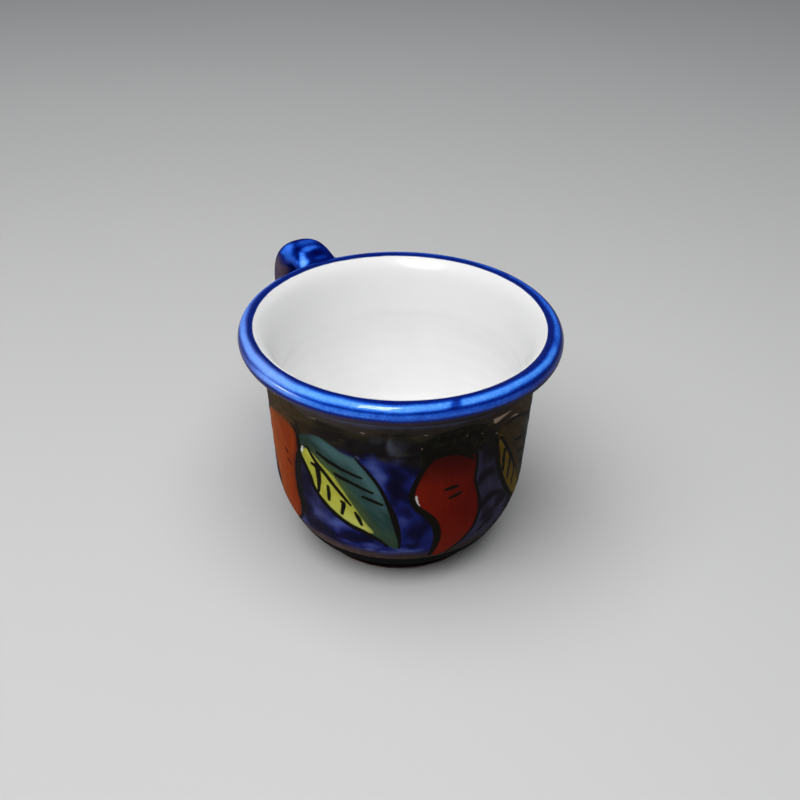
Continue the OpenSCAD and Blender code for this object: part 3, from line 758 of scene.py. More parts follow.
# painted highlight: a light band along the crest where the rim reflects the light, brightest facing the viewer and
# fainter round the back; deep blue at the inner edge and in a line below the crest
centre = round_table(TT, [(-180, 86), (-140, 72), (-100, 50), (-75, 63), (-50, 57), (-25, 55), (0, 51), (25, 61), (50, 61), (75, 66), (100, 80), (140, 86)])
width = round_table(TT, [(-180, 11), (-140, 14), (-100, 27), (-75, 20), (-50, 26), (-25, 22), (0, 20), (25, 20), (50, 19), (75, 19), (100, 17), (140, 12)])
light = round_table(TT, [(-180, .45), (-140, .5), (-100, .7), (-75, .8), (-50, .96), (-25, .97), (0, .97), (25, .93), (50, .85), (75, .7), (100, .55), (140, .5)])
x = (AA + ragged - centre) / width
band = light * (1 - smooth(np.abs(x), 0.25, 1.5))
# places where one stroke of the brush ended on the next
for at, wide, deep in [(17.2, 1.8, .72), (74, 4.0, .3), (-128, 3.0, .5), (131, 3.0, .5), (-165, 3.0, .5)]:
    off = (TT - at - AA * 0.02 + 180) % 360 - 180
    band = band * (1 - deep * (1 - smooth(np.abs(off), 0.3 * wide, 1.6 * wide)))
# a second, lower painted highlight, strongest on the left where the rim reflects the side light
low_c = round_table(TT, [(-180, 12), (-75, 12), (-50, 20), (-25, 12), (0, 10), (25, 15), (50, 10), (75, 8)])
low_l = round_table(TT, [(-180, .35), (-100, .2), (-75, .05), (-62, .3), (-50, .85), (-25, .65), (0, .55), (20, .5), (40, .4), (50, .25), (75, .1), (120, .3)])
band = np.maximum(band, low_l * (1 - smooth(np.abs((AA + 0.7 * ragged - low_c) / 20), 0.3, 1.2)))
edge = round_table(TT, [(-180, 120), (-150, 117), (-100, 113), (-75, 112), (-50, 110), (-25, 104), (0, 101), (25, 108), (50, 121), (75, 123), (100, 121), (150, 120)])
# paler on the left: painted light on the grey under the rim and a pale painted reflection on the band
under = round_table(TT, [(-180, .4), (-100, .8), (-60, 1), (-50, .95), (-25, .5), (0, .28), (25, 0), (50, .12), (75, .2), (120, .4)])
fall = round_table(TT, [(-180, 0), (-100, 15), (-75, 26), (-58, 4), (-50, -4), (-25, -4), (0, 0), (25, 7), (50, 10), (75, 20), (120, 5)])
for name, v in (("across", AA), ("band", band), ("bare", AA - edge + 0.5 * ragged), ("under", under), ("fall", AA - fall)):
    add_attr(rim, name, with_under(v, *UNDER))
add_vec(rim, "flat", with_under(np.stack([np.tile(TH * 46, len(rim_prof)), np.repeat(ang * 0.062, N_WALL), np.zeros(P.size // 3)], -1), *UNDER))


def disc_shell(name, prof, n, depth, node, flip=False):
    """A closed coat whose profile runs to the axis."""
    prof = prof[:-1]
    P, th = turned(prof, n)
    P = hand(P)
    inner = prof + depth * normals_2d(prof)
    pick = np.unique(np.linspace(0, len(prof) - 1, max(8, len(prof) // 3)).round().astype(int))
    Q, _ = turned(inner[pick], n)
    Q = hand(Q)
    rows, rin = len(prof), len(pick)
    c1 = [0, 0, prof[-1, 1]]
    c2 = [0, 0, inner[-1, 1]]
    V = np.vstack([P.reshape(-1, 3), Q.reshape(-1, 3), [c1, c2]])
    b = rows * n
    F = grid_faces(rows, n, 0, flip) + grid_faces(rin, n, b, not flip)
    i1, i2 = len(V) - 2, len(V) - 1
    fans, ends = [], []
    for j in range(n):
        k = (j + 1) % n
        fans += [[(rows - 1) * n + j, (rows - 1) * n + k, i1], [b + (rin - 1) * n + k, b + (rin - 1) * n + j, i2]]
        ends += [[k, j, b + j], [k, b + j, b + k]]
    extra = fans + ends
    return make(name, V, F + ([x[::-1] for x in extra] if flip else extra), node, len(ends))


# rows are closer where the coat meets the rim, so that the two shade as one surface
inside = disc_shell("white_inside", np.vstack([even(IN_PTS[:61], 24), even(IN_PTS[60:], 104)[1:]]), 320, 0.36, "inside_glaze")

foot_prof = np.vstack([[[FOOT_R - 0.36, DRY_H]], [[FOOT_R - 0.08, DRY_H + 0.2]], [[FOOT_R, DRY_H + 0.5]],
                       [[FOOT_R, z] for z in np.linspace(DRY_H + 0.9, FOOT_H - 0.9, 5)],
                       [[FOOT_R + 0.04, FOOT_H - 0.55], [FOOT_R + 0.16, FOOT_H - 0.2], [FOOT_R + 0.42, FOOT_H - 0.02]],
                       LOW_PTS[6:]])
foot_coat, P, TH, n_under = shell("dark_foot_coat", np.vstack([foot_prof[:10], even(foot_prof[10:], 34)]), 320, 0.34, 160, 16, "foot_glaze")

ri = FOOT_RI - GLAZE
base_prof = np.array([[FOOT_RI - 0.04, DRY_H], [ri + 0.1, DRY_H + 0.2], [ri, DRY_H + 0.5], [ri, 1.9], [ri, 2.4], [ri, 2.9],
                      [ri - 0.06, FOOT_H - 0.85], [ri - 0.22, FOOT_H - 0.45], [ri - 0.5, FOOT_H - 0.17], [ri - 0.95, FOOT_H - 0.03]]
                     + [[r, FOOT_H + 0.05 * math.cos(r / 3.1)] for r in np.linspace(ri - 1.6, 0, 26)])
base_coat = disc_shell("base_coat", base_prof, 160, -0.34, "base_glaze", True)

ro = FOOT_R - GLAZE
ring_prof = [(FOOT_RI + 0.02, BASE_Z - 0.05), (FOOT_RI, 3.4), (FOOT_RI, 2.2), (FOOT_RI, 1.2)]
for t in np.linspace(0, PI / 2, 7):
    ring_prof.append((FOOT_RI + 0.8 * (1 - math.cos(t)), 0.8 * (1 - math.sin(t))))
ring_prof += [(r, 0.0) for r in np.linspace(FOOT_RI + 1.4, ro - 1.4, 8)]
for t in np.linspace(0, PI / 2, 7):
    ring_prof.append((ro - 0.8 + 0.8 * math.sin(t), 0.8 * (1 - math.cos(t))))
ring_prof += [(ro, 1.2), (ro, 2.2), (ro, 3.4), (ro - 0.02, BASE_Z - 0.05)]
ring_prof = np.array(ring_prof)
P, TH = turned(ring_prof, 256)
rng = np.random.default_rng(5)
wear = 0.05 * np.sin(7 * TH + 1) + 0.04 * np.sin(13 * TH + 2) + 0.03 * np.sin(23 * TH)
edge_k = np.exp(-((ring_prof[:, 1] - 0.3) / 0.35) ** 2)[:, None]
P[..., 2] += np.maximum(edge_k * (0.08 + wear)[None, :], 0) * (ring_prof[:, 1:2] > 0.02)
F = grid_faces(len(ring_prof), 256) + [[j, len(P.reshape(-1, 3)) - 256 + j, len(P.reshape(-1, 3)) - 256 + (j + 1) % 256, (j + 1) % 256] for j in range(256)]
foot_ring = make("clay_foot_ring", P.reshape(-1, 3), F, "foot_ring")

# ---------------------------------------------------------------- handle
STRAP_W, STRAP_T, TAPER, RISE, TOP_R, BACK_R, BACK_A, REACH, CREST = 12.5, 8.0, 0.1, math.radians(31), 11.8, 33.0, math.radians(52), 69.8, 74.7
ROOT_L, TAIL_L = 15.0, 29.0
BX, BZ, LX = REACH - TOP_R, CREST - TOP_R, REACH - BACK_R
LA = ROOT_L
LB = LA + TOP_R * (PI / 2 + RISE)
LC = LB + BACK_R * BACK_A
LD = LC + TAIL_L


def strap_mid(s):
    if s <= LA:
        return (BX - TOP_R * math.sin(RISE) - (LA - s) * math.cos(RISE), BZ + TOP_R * math.cos(RISE) - (LA - s) * math.sin(RISE))
    if s <= LB:
        f = PI / 2 + RISE - (s - LA) / TOP_R
        return (BX + TOP_R * math.cos(f), BZ + TOP_R * math.sin(f))
    if s <= LC:
        f = -(s - LB) / BACK_R
        return (LX + BACK_R * math.cos(f), BZ + BACK_R * math.sin(f))
    return (LX + BACK_R * math.cos(BACK_A) - (s - LC) * math.sin(BACK_A), BZ - BACK_R * math.sin(BACK_A) - (s - LC) * math.cos(BACK_A))


OUTSIDE = np.vstack([LOW_PTS, WALL_PTS[1:], RIM_PTS[1:]])


def gap_to_bowl(P):
    """Distance from points to the glazed outside of the bowl, negative inside it."""
    q = np.stack([np.hypot(P[:, 0], P[:, 1]), P[:, 2]], -1)
    nn = -normals_2d(OUTSIDE)
    out = np.empty(len(q))
    for s in range(0, len(q), 3000):
        e = q[s:s + 3000, None, :] - OUTSIDE
        d2 = (e * e).sum(2)
        i = d2.argmin(1)
        sign = np.sign((e[np.arange(len(i)), i] * nn[i]).sum(1))
        out[s:s + 3000] = np.sqrt(d2[np.arange(len(i)), i]) * sign
    return out


SLIP_A, SLIP_B, SLIP_T, COAT = LA - 1.6, LC + 15, 1.3, 0.47
RUN = np.linspace(-10, LD + 10, 1400)
MID = np.array([strap_mid(s) for s in RUN])
TAN = np.gradient(MID, axis=0)
TAN /= np.linalg.norm(TAN, axis=1)[:, None]
SIDES = 56
ROUND_B = 2 * PI * np.arange(SIDES) / SIDES
bow = lambda v: np.sign(v) * np.abs(v) ** (2 / 2.4)


def slip(s):
    """How far the slip at the two joints stands out around the strap."""
    full = np.maximum(np.clip((SLIP_A - s) / 7, 0, 1), np.clip((s - SLIP_B) / 10, 0, 1)) ** 1.5
    edge = np.maximum(smooth(s, SLIP_A + 4, SLIP_A), smooth(s, SLIP_B - 4, SLIP_B))
    return SLIP_T * (0.25 * edge + 0.75 * full)


def strap_at(s, b, grow=0.0):
    """Points of the glazed strap at the lengths s and the angles b round its section."""
    mx, mz, tx, tz = (np.interp(s, RUN, v) for v in (MID[:, 0], MID[:, 1], TAN[:, 0], TAN[:, 1]))
    g = COAT + slip(s) + grow + 0.05 * (1 + np.sin(s / 4.3 + 0.6)) + 0.04 * (1 + np.sin(s / 2.3 + 1 + 2 * b))
    w = STRAP_W / 2 * (1 - TAPER * np.maximum(0, s - LA) / LD) + g
    n = (STRAP_T / 2 + g) * bow(np.sin(b))
    return np.stack([mx - n * tz, w * bow(np.cos(b)), mz + n * tx], -1)


# each line along the strap runs from just under the glaze of the wall to just under it again
sg = np.linspace(-9.0, LD + 9.5, 520)
bg = np.broadcast_to(ROUND_B, (520, SIDES))
g = gap_to_bowl(strap_at(np.broadcast_to(sg[:, None], bg.shape), bg).reshape(-1, 3)).reshape(bg.shape)
first, last = [], []
for j in range(SIDES):
    under = np.nonzero(g[:, j] < -0.9)[0]
    a, c = under[sg[under] < LD / 2], under[sg[under] > LD / 2]
    first.append(sg[a[-1]] if len(a) else sg[0])
    last.append(sg[c[0]] if len(c) else sg[-1])
first, last = np.array(first), np.array(last)
for v in (first, last):
    v[:] = (np.roll(v, 1) + 2 * v + np.roll(v, -1)) / 4
tt = np.linspace(0, 1, 170)
tt = tt - 0.075 * np.sin(2 * PI * tt)
sa = first[None, :] + (last - first)[None, :] * tt[:, None]
ba = np.broadcast_to(ROUND_B, sa.shape)
g = gap_to_bowl(strap_at(sa, ba).reshape(-1, 3)).reshape(sa.shape)
rf = np.where(sa < LD / 2, 1.7, 2.2)
x = np.clip((rf - g) / rf, 0, 1)
P = strap_at(sa, ba, rf * (1 - np.sqrt(np.maximum(0, 1 - x * x))) * 0.8)
rows = len(P)
V = np.vstack([P.reshape(-1, 3), [P[0].mean(0), P[-1].mean(0)]])
F = grid_faces(rows, SIDES, 0, True)
for j in range(SIDES):
    k = (j + 1) % SIDES
    F += [[j, k, rows * SIDES], [(rows - 1) * SIDES + k, (rows - 1) * SIDES + j, rows * SIDES + 1]]
strap = make("blue_handle", V, F, "handle_glaze")
# lighter patches of blue: those near the top of the strap are painted highlights where it reflects the lights, the rest
# vary the blue along the strap
tone = np.full(sa.shape, 0.10)
bd = np.degrees(ba)
for s0, b0, ds, db, k in [(15.6, 38, 1.6, 20, .86), (17.0, 45, 1.2, 13, .72), (18.1, 52, 1.0, 12, .58), (17.4, 13, .9, 9, .48), (19.0, 79, 1.1, 25, .48), (24.6, 37, 2.5, 24, .52), (23.4, 27, 2.2, 16, .44), (26.0, 20, 2.2, 15, .46),
                          (23.0, 6, 3.6, 20, .40), (20.0, 6, 2.6, 17, .36), (24.5, -12, 2.8, 14, .24), (22.2, 92, 1.8, 30, .34), (15.1, 92, .8, 14, .2),
                          (18.0, 140, 1.6, 18, .12), (24.0, 135, 2.4, 16, .2), (34.0, 95, 4.0, 26, .40), (46.0, 80, 5.0, 20, .45), (52.0, 120, 6.0, 16, .4), (60.0, 60, 5.0, 16, .4),
                          (66.0, 100, 6.0, 22, .5), (76.0, 84, 6.0, 26, .45), (86.0, 110, 4.0, 20, .4), (40.0, 180, 6.0, 16, .35), (62.0, 180, 8.0, 16, .35), (30.0, 250, 5.0, 20, .25),
                          (52.0, 270, 9.0, 26, .3), (72.0, 0, 6.0, 16, .3), (80.0, 180, 5.0, 16, .35)]:
    off = (bd - b0 + 180) % 360 - 180
    tone = np.maximum(tone, 0.10 + k * (1 - smooth(np.hypot((sa - s0) / ds, off / db), 0.35, 1.7)))
# darker patches among them: painted dark reflections
for s0, b0, ds, db, k in [(20.6, 49, 1.0, 11, .92), (16.9, 92, 1.2, 18, .8)]:
    off = (bd - b0 + 180) % 360 - 180
    tone = tone * (1 - k * (1 - smooth(np.hypot((sa - s0) / ds, off / db), 0.4, 1.4)))
add_attr(strap, "tone", np.r_[tone.ravel(), 0.1, 0.1])
# brown-grey on the side of the back leg: painted shade and reflection of a brown surface
off = (bd - 342 + 180) % 360 - 180
strap_shade_and_reflection = smooth(sa, 27.5, 33.5) * (1 - smooth(sa, 44, 60)) * (1 - smooth(np.abs(off), 26, 48))
add_attr(strap, "strap_shade_and_reflection", np.r_[strap_shade_and_reflection.ravel(), 0, 0])
add_attr(strap, "along", np.r_[sa.ravel(), sa[0, 0], sa[-1, 0]])
add_attr(strap, "outer", np.r_[np.sin(ba).ravel(), 0, 0])
add_vec(strap, "flat", np.vstack([np.stack([sa, np.cos(ba) * 7, np.sin(ba) * 4], -1).reshape(-1, 3), [[sa[0, 0], 0, 0], [sa[-1, 0], 0, 0]]]))


# ---------------------------------------------------------------- materials
# colours of the painted band
GREY_A = lin(50, 50, 66)
GREY_LIT, GREY_SHADED, GREY_UNDER_RIM = (lin(52, 46, 41), lin(62, 54, 49)), (lin(33, 27, 23), lin(39, 33, 27)), (lin(52, 53, 71), lin(72, 72, 93))
LOW_PALE, LOW_DARK = (lin(63, 50, 45), lin(80, 65, 60)), (lin(36, 30, 27), lin(44, 38, 34))
GROUND = [(0.0, lin(74, 88, 154)), (0.25, lin(47, 58, 120)), (0.5, lin(21, 27, 87)), (0.75, lin(11, 12, 50)), (1.0, lin(6, 5, 29))]
SLATE_AND_SHADE = [(0.0, lin(64, 62, 86)), (0.5, lin(46, 43, 61)), (0.75, lin(27, 21, 32)), (1.0, lin(16, 10, 16))]
SWAG_LOW, SWAG_TOP, SWAG_MID, BROWN_REFLECTION_TINT = lin(22, 19, 21), lin(42, 38, 27), lin(26, 23, 21), (lin(50, 38, 20), lin(68, 53, 31))
SHEEN_GREY, MURK = lin(84, 87, 100), lin(19, 17, 12)
RED_LEFT, RED_RIGHT, RED_DARK = (lin(99, 18, 4), lin(108, 22, 6)), (lin(79, 9, 3), lin(87, 12, 4)), lin(48, 6, 3)
ORANGE_LEFT, ORANGE_RIGHT, ORANGE_DARK = (lin(128, 59, 15), lin(143, 70, 20)), (lin(112, 38, 4), lin(126, 45, 6)), lin(60, 22, 8)
CAP_RAMP = [(0.3, lin(8, 7, 4)), (0.5, lin(16, 15, 9)), (0.68, lin(30, 30, 20)), (0.85, lin(54, 54, 38))]
TEAL_A, TEAL_B, TEAL_DARK, TEAL_LIGHT, TEAL_LOW = lin(33, 54, 51), lin(44, 69, 67), lin(20, 31, 31), lin(74, 106, 109), lin(48, 66, 48)
OLIVE_A, OLIVE_B, TEAL_END = lin(52, 66, 36), lin(66, 82, 48), lin(32, 46, 40)
YEL_A, YEL_B, YEL_EDGE, YEL_TIP = lin(150, 151, 52), lin(169, 170, 66), lin(124, 129, 46), lin(184, 190, 104)
BROWN_A, BROWN_B = lin(44, 30, 12), lin(57, 41, 19)
YBROWN_A, YBROWN_B = lin(66, 46, 0), lin(88, 64, 2)
BARE, BARE_IN_SHADE, INK = lin(204, 202, 198), lin(150, 128, 112), lin(14, 12, 7)
FOOT_A, FOOT_B, FOOT_C = lin(5, 5, 6), lin(9, 8, 10), lin(20, 17, 16)


def glaze_skin(m, rough=0.09, wave=0.25):
    """Height of a fired glaze: slow pulls and fine orange peel."""
    c = m.coords()
    slow = m.noise(c, 90.0, 2.0, 0.5)
    fine = m.noise(c, 900.0, 2.0, 0.55)
    return m.add(m.mul(slow, wave), m.mul(fine, 0.05))


def painted():
    m = Nodes("painted_glaze")
    co = m.coords()
    fl = m.attr("flat", True)
    leaf, yellow, chile, cap = (m.attr(k) for k in ("leaf", "yellow", "chile", "cap"))
    ink, gap, dabs, pale, top, low = (m.attr(k) for k in ("ink", "gap", "dabs", "pale", "edge_top", "edge_low"))
    leaf_tone_and_shade, chile_tone_and_light = m.attr("leaf_tone_and_shade"), m.attr("chile_tone_and_light")
    sep = m.t.nodes.new("ShaderNodeSeparateXYZ")
    m.put(sep.inputs[0], fl)
    zz = sep.outputs[1]
    n1 = m.noise(co, 160.0, 4.0, 0.6)                       # blotches of about 6 mm
    n2 = m.noise(co, 620.0, 4.0, 0.6)                       # brush roughness of about 1.5 mm
    n3 = m.noise(co, 1800.0, 3.0, 0.6)                      # grain
    wob = m.mul(m.add(n2, -0.5), 0.5)                       # ragged edge of a brush line, mm

    def inside(field, soft=0.22, grow=0.0):
        return m.step(m.add(field, m.mul(wob, 0.6)), grow + soft, grow - soft)

    # white glaze under everything, turned grey-brown under the rim and at the lower edge as painted shade, paler on the
    # lit left side as painted light
    brown_reflection, slate_and_shade, lit_side, sheen_streak, shade, side_c = (m.attr(k) for k in ("brown_reflection", "slate_and_shade", "lit_side", "sheen_streak", "shade", "side_c"))
    side_l, murk = m.attr("side_l"), m.attr("murk")
    two = lambda f, pair: m.mix(m.step(f, 0.3, 0.7), pair[0], pair[1])
    grey = m.mix(lit_side, two(n1, GREY_SHADED), two(n1, GREY_LIT))
    grey = m.mix(m.step(m.add(zz, m.mul(m.add(n1, -0.5), 2.0)), 64.9, 67.4), grey, m.mix(lit_side, GREY_UNDER_RIM[0], GREY_UNDER_RIM[1]))
    col = m.mix(m.step(zz, 20.0, 18.0), grey, m.mix(lit_side, two(n2, LOW_DARK), two(n2, LOW_PALE)))
    # blue ground: watery blue with dark and pale touches, slate grey in places; on the right side the slate is painted
    # shade and reflection
    d = m.add(m.add(0.50, m.mul(dabs, 0.46)), m.mul(pale, -0.46))
    d = m.add(d, m.mul(m.add(n1, -0.5), 0.42))
    d = m.add(d, m.mul(m.add(n2, -0.5), 0.20))
    blue = m.mix(slate_and_shade, m.ramp(d, GROUND), m.ramp(d, SLATE_AND_SHADE))
    ground = m.step(m.add(m.add(zz, m.mul(wob, 3.0)), m.mul(m.add(n1, -0.5), 3.0)), 13.6, 17.6)
    ground = m.mul(ground, m.step(top, -0.6, -1.6))
    col = m.mix(ground, col, blue)
    # dark border under the rim, green on its upper edge, brown painted reflection towards the left and right
    n_sw = m.add(low, m.mul(m.add(n1, -0.5), 5.0))
    dark = m.mix(m.step(m.add(top, m.mul(m.add(n1, -0.5), 4.0)), -4.2, -1.0), SWAG_LOW, SWAG_TOP)
    dark = m.mix(m.step(n2, 0.45, 0.75, 0.0, 0.5), dark, SWAG_MID)
    bst = m.noise(m.along(fl, 0.12, 9.0, 2.2), 1.0, 3.0, 0.55, 0.5)
    dark = m.mix(m.step(bst, 0.56, 0.36, 0.0, 0.75), dark, lin(13, 11, 12))
    dark = m.mix(m.step(bst, 0.56, 0.72, 0.0, 0.7), dark, lin(50, 47, 33))
    dark = m.mix(m.mul(brown_reflection, m.step(n1, 0.2, 0.55, 0.6, 1.0)), dark, two(n2, BROWN_REFLECTION_TINT))
    band = m.mul(m.step(n_sw, 2.6, -1.8), m.step(m.add(top, m.mul(wob, 1.5)), 0.5, -0.6))
    col = m.mix(band, col, dark)
    col = m.mix(murk, col, MURK)
    # grey streaks of painted sheen
    sheen_streak = m.mul(sheen_streak, m.step(m.noise(m.along(fl, 1.45, 9.0, 1.6), 1.0, 1.0, 0.5), 0.3, 0.7, 0.65, 1.0))
    col = m.mix(m.mul(sheen_streak, m.step(zz, 55.0, 56.0, 0.0, 0.85)), col, SHEEN_GREY)
    # red chile, darker towards its top and its right, faint streaks along it
    st = m.noise(m.mapped(fl, (0.5, 0.10, 1.0), (0, 0, 0.12)), 1.0, 3.0, 0.55)
    st = m.add(st, m.mul(m.add(n1, -0.5), 0.35))
    across = m.step(side_c, -0.9, 0.9)
    red = m.mix(across, two(st, RED_LEFT), two(st, RED_RIGHT))
    red = m.mix(m.step(zz, 32.0, 18.0, 0.0, 0.55), red, lin(108, 24, 7))
    red = m.mix(m.step(zz, 41.0, 54.0, 0.0, 0.92), red, RED_DARK)
    # orange of the side chile at the left: painted light, browner towards its top
    orange = m.mix(across, two(st, ORANGE_LEFT), two(st, ORANGE_RIGHT))
    orange = m.mix(m.step(m.add(zz, m.mul(m.add(n1, -0.5), 5.0)), 52.0, 58.5, 0.0, 0.8), orange, lin(92, 60, 30))
    orange = m.mix(m.mul(shade, 0.8), orange, ORANGE_DARK)
    red = m.mix(chile_tone_and_light, red, orange)
    red = m.mix(m.step(chile, -1.2, -0.2, 0.0, 0.25), red, RED_DARK)
    soft_top = m.mul(chile_tone_and_light, m.step(zz, 53.0, 57.0))
    col = m.mix(m.mul(inside(chile), m.step(m.mul(soft_top, m.step(chile, -3.2, 0.0)), 0.0, 1.0, 1.0, 0.25)), col, red)
    # dark green cap over the chile
    gst = m.noise(m.mapped(fl, (0.5, 0.5, 1.0), (0, 0, 0.6)), 1.0, 4.0, 0.65)
    capc = m.ramp(gst, CAP_RAMP)
    # brown painted reflection over the sides of the cap
    capc = m.mix(m.mul(brown_reflection, 0.7), capc, two(gst, BROWN_REFLECTION_TINT))
    col = m.mix(m.mul(inside(cap), 0.95), col, capc)
    # leaf: green to teal half, soft streaks along the leaf
    lst = m.noise(m.along(fl, -0.86, 16.0, 2.6), 1.0, 2.0, 0.5)
    lst = m.add(m.mul(m.add(lst, -0.5), 1.1), m.add(0.5, m.mul(m.add(n1, -0.5), 0.3)))
    teal = two(lst, (TEAL_A, TEAL_B))
    light = m.mul(m.step(leaf, -6.0, -1.2), m.step(yellow, 3.0, 6.5))
    teal = m.mix(m.mul(light, m.step(zz, 31.0, 42.0, 0.0, 1.0)), teal, TEAL_LIGHT)
    teal = m.mix(m.step(yellow, 4.0, 0.8, 0.0, 0.9), teal, two(lst, (OLIVE_A, OLIVE_B)))
    teal = m.mix(m.step(zz, 30.0, 22.5, 0.0, 0.85), teal, TEAL_LOW)
    teal = m.mix(m.step(side_l, -0.3, -0.9, 0.0, 0.85), teal, TEAL_END)
    teal = m.mix(m.step(leaf, -1.6, -0.1, 0.0, 0.2), teal, TEAL_DARK)
    # brown of the side leaf: painted shade
    teal = m.mix(m.mul(leaf_tone_and_shade, 0.95), teal, two(lst, (BROWN_A, BROWN_B)))
    col = m.mix(m.step(m.add(leaf, m.mul(wob, 0.6)), 0.45, -0.6), col, teal)
    yst = m.noise(m.along(fl, -0.86, 9.0, 2.4), 1.0, 2.0, 0.5)
    yel = m.mix(m.step(zz, 35.0, 27.0, 0.0, 0.6), two(yst, (YEL_A, YEL_B)), YEL_TIP)
    yel = m.mix(m.step(yellow, -1.5, -0.1, 0.0, 0.5), yel, YEL_EDGE)
    yel = m.mix(m.mul(leaf_tone_and_shade, 0.95), yel, two(yst, (YBROWN_A, YBROWN_B)))
    col = m.mix(m.mul(inside(yellow, 0.35), inside(leaf)), col, yel)
    # bluish painted sheen lower down, over the leaf
    col = m.mix(m.mul(sheen_streak, m.step(zz, 55.5, 54.0, 0.0, 0.8)), col, lin(90, 90, 130))
    # bare white glaze that the colours missed, dimmer above z 57 as painted shade under the rim
    col = m.mix(m.mul(inside(gap, 0.2), 0.9), col, m.mix(m.step(zz, 56.5, 57.5), BARE, BARE_IN_SHADE))
    # black brush lines, thin in places
    line = m.step(m.add(ink, m.mul(wob, 0.75)), 0.54, 0.02)
    line = m.mul(line, m.step(n3, 0.12, 0.42, 0.85, 1.0))
    col = m.mix(line, col, INK)
    # thin dark line where the painted coat ends
    col = m.mix(m.step(zz, 12.3, 11.7), col, FOOT_A)
    m.set("Base Color", col)
    m.set("Roughness", m.add(0.10, m.mul(n3, 0.06)))
    m.set("IOR", 1.5)
    m.set("Specular IOR Level", 0.0)
    m.set("Coat Weight", 0.08)
    m.set("Coat Roughness", 0.08)
    m.set("Coat IOR", 1.5)
    hgt = m.add(glaze_skin(m), m.add(m.mul(line, 0.18), m.mul(m.mul(dabs, n2), 0.10)))
    m.set("Normal", m.bump(hgt, 0.00012, 0.6))
    return m.mat


COBALT = [(0.0, lin(2, 24, 104)), (0.2, lin(4, 40, 140)), (0.5, lin(28, 88, 202)), (0.8, lin(70, 142, 242)), (1.0, lin(108, 172, 252))]

STRAP_BLUE = [(0.0, lin(0, 6, 70)), (0.15, lin(2, 22, 100)), (0.35, lin(8, 48, 150)), (0.6, lin(45, 105, 220)), (0.85, lin(85, 152, 250)), (1.0, lin(125, 180, 255))]


def cobalt_rim():
    m = Nodes("cobalt_rim")
    co = m.coords()
    fl = m.attr("flat", True)
    ac, band, bare = m.attr("across"), m.attr("band"), m.attr("bare")
    st = m.noise(m.mapped(fl, (0.07, 1.1, 1.0)), 1.0, 5.0, 0.62, 0.3)      # brush streaks round the rim
    n2 = m.noise(co, 500.0, 4.0, 0.6)
    n3 = m.noise(co, 1700.0, 3.0, 0.6)
    # the band attribute lightens the blue along the painted highlight
    t = m.add(m.mul(band, 0.92), m.mul(m.add(st, -0.5), 0.42))
    t = m.add(t, m.add(m.mul(m.add(n2, -0.5), 0.3), m.mul(m.add(n3, -0.5), 0.38)))
    col = m.ramp(t, COBALT)
    # pale painted reflection over the light band on the left side
    under = m.attr("under")
    col = m.mix(m.mul(m.step(under, 0.55, 1.0, 0.0, 0.4), band), col, lin(150, 165, 215))
    # soft lower edge where the blue ends on the grey painted shade under the rim, paler on the left as painted light,
    # and a crisp inner edge on the white
    fade = m.step(m.add(m.attr("fall"), m.mul(m.add(n2, -0.5), 12.0)), -28.0, -2.0)
    col = m.mix(fade, m.mix(under, lin(32, 28, 29), lin(80, 71, 86)), col)
    edge = m.add(bare, m.mul(m.add(n2, -0.5), 3.0))
    col = m.mix(m.step(edge, -6.0, -0.5, 0.0, 0.5), col, lin(70, 110, 190))
    col = m.mix(m.step(edge, -2.0, 2.0), col, lin(231, 231, 231))
    m.set("Base Color", col)
    m.set("Roughness", m.add(0.08, m.mul(n3, 0.08)))
    m.set("IOR", 1.5)
    m.set("Specular IOR Level", 0.0)
    m.set("Coat Weight", m.step(ac, -25.0, 20.0, 0.08, 0.5))
    m.set("Coat Roughness", 0.06)
    m.set("Coat IOR", 1.5)
    hgt = m.add(glaze_skin(m), m.add(m.mul(st, 0.35), m.mul(n2, 0.08)))
    m.set("Normal", m.bump(hgt, 0.00014, 0.6))
    return m.mat


def cobalt_handle():
    m = Nodes("cobalt_handle")
    co = m.coords()
    fl = m.attr("flat", True)
    st = m.noise(m.mapped(fl, (0.10, 0.45, 0.45)), 1.0, 4.0, 0.55, 0.4)
    n2 = m.noise(co, 500.0, 4.0, 0.6)
    n3 = m.noise(co, 1700.0, 3.0, 0.6)
    t = m.add(m.attr("tone"), m.mul(m.add(st, -0.5), 0.16))
    t = m.add(t, m.mul(m.add(n2, -0.5), 0.12))
    col = m.ramp(t, STRAP_BLUE)
    col = m.mix(m.mul(m.attr("strap_shade_and_reflection"), m.step(n2, 0.2, 0.6, 0.6, 1.0)), col, lin(82, 69, 80))
    m.set("Base Color", col)
    m.set("Roughness", m.add(0.08, m.mul(n3, 0.08)))
    m.set("IOR", 1.5)
    m.set("Specular IOR Level", 0.0)
    m.set("Coat Weight", 0.1)
    m.set("Coat Roughness", 0.06)
    m.set("Coat IOR", 1.5)
    hgt = m.add(glaze_skin(m), m.add(m.mul(st, 0.35), m.mul(n2, 0.08)))
    m.set("Normal", m.bump(hgt, 0.00014, 0.6))
    return m.mat


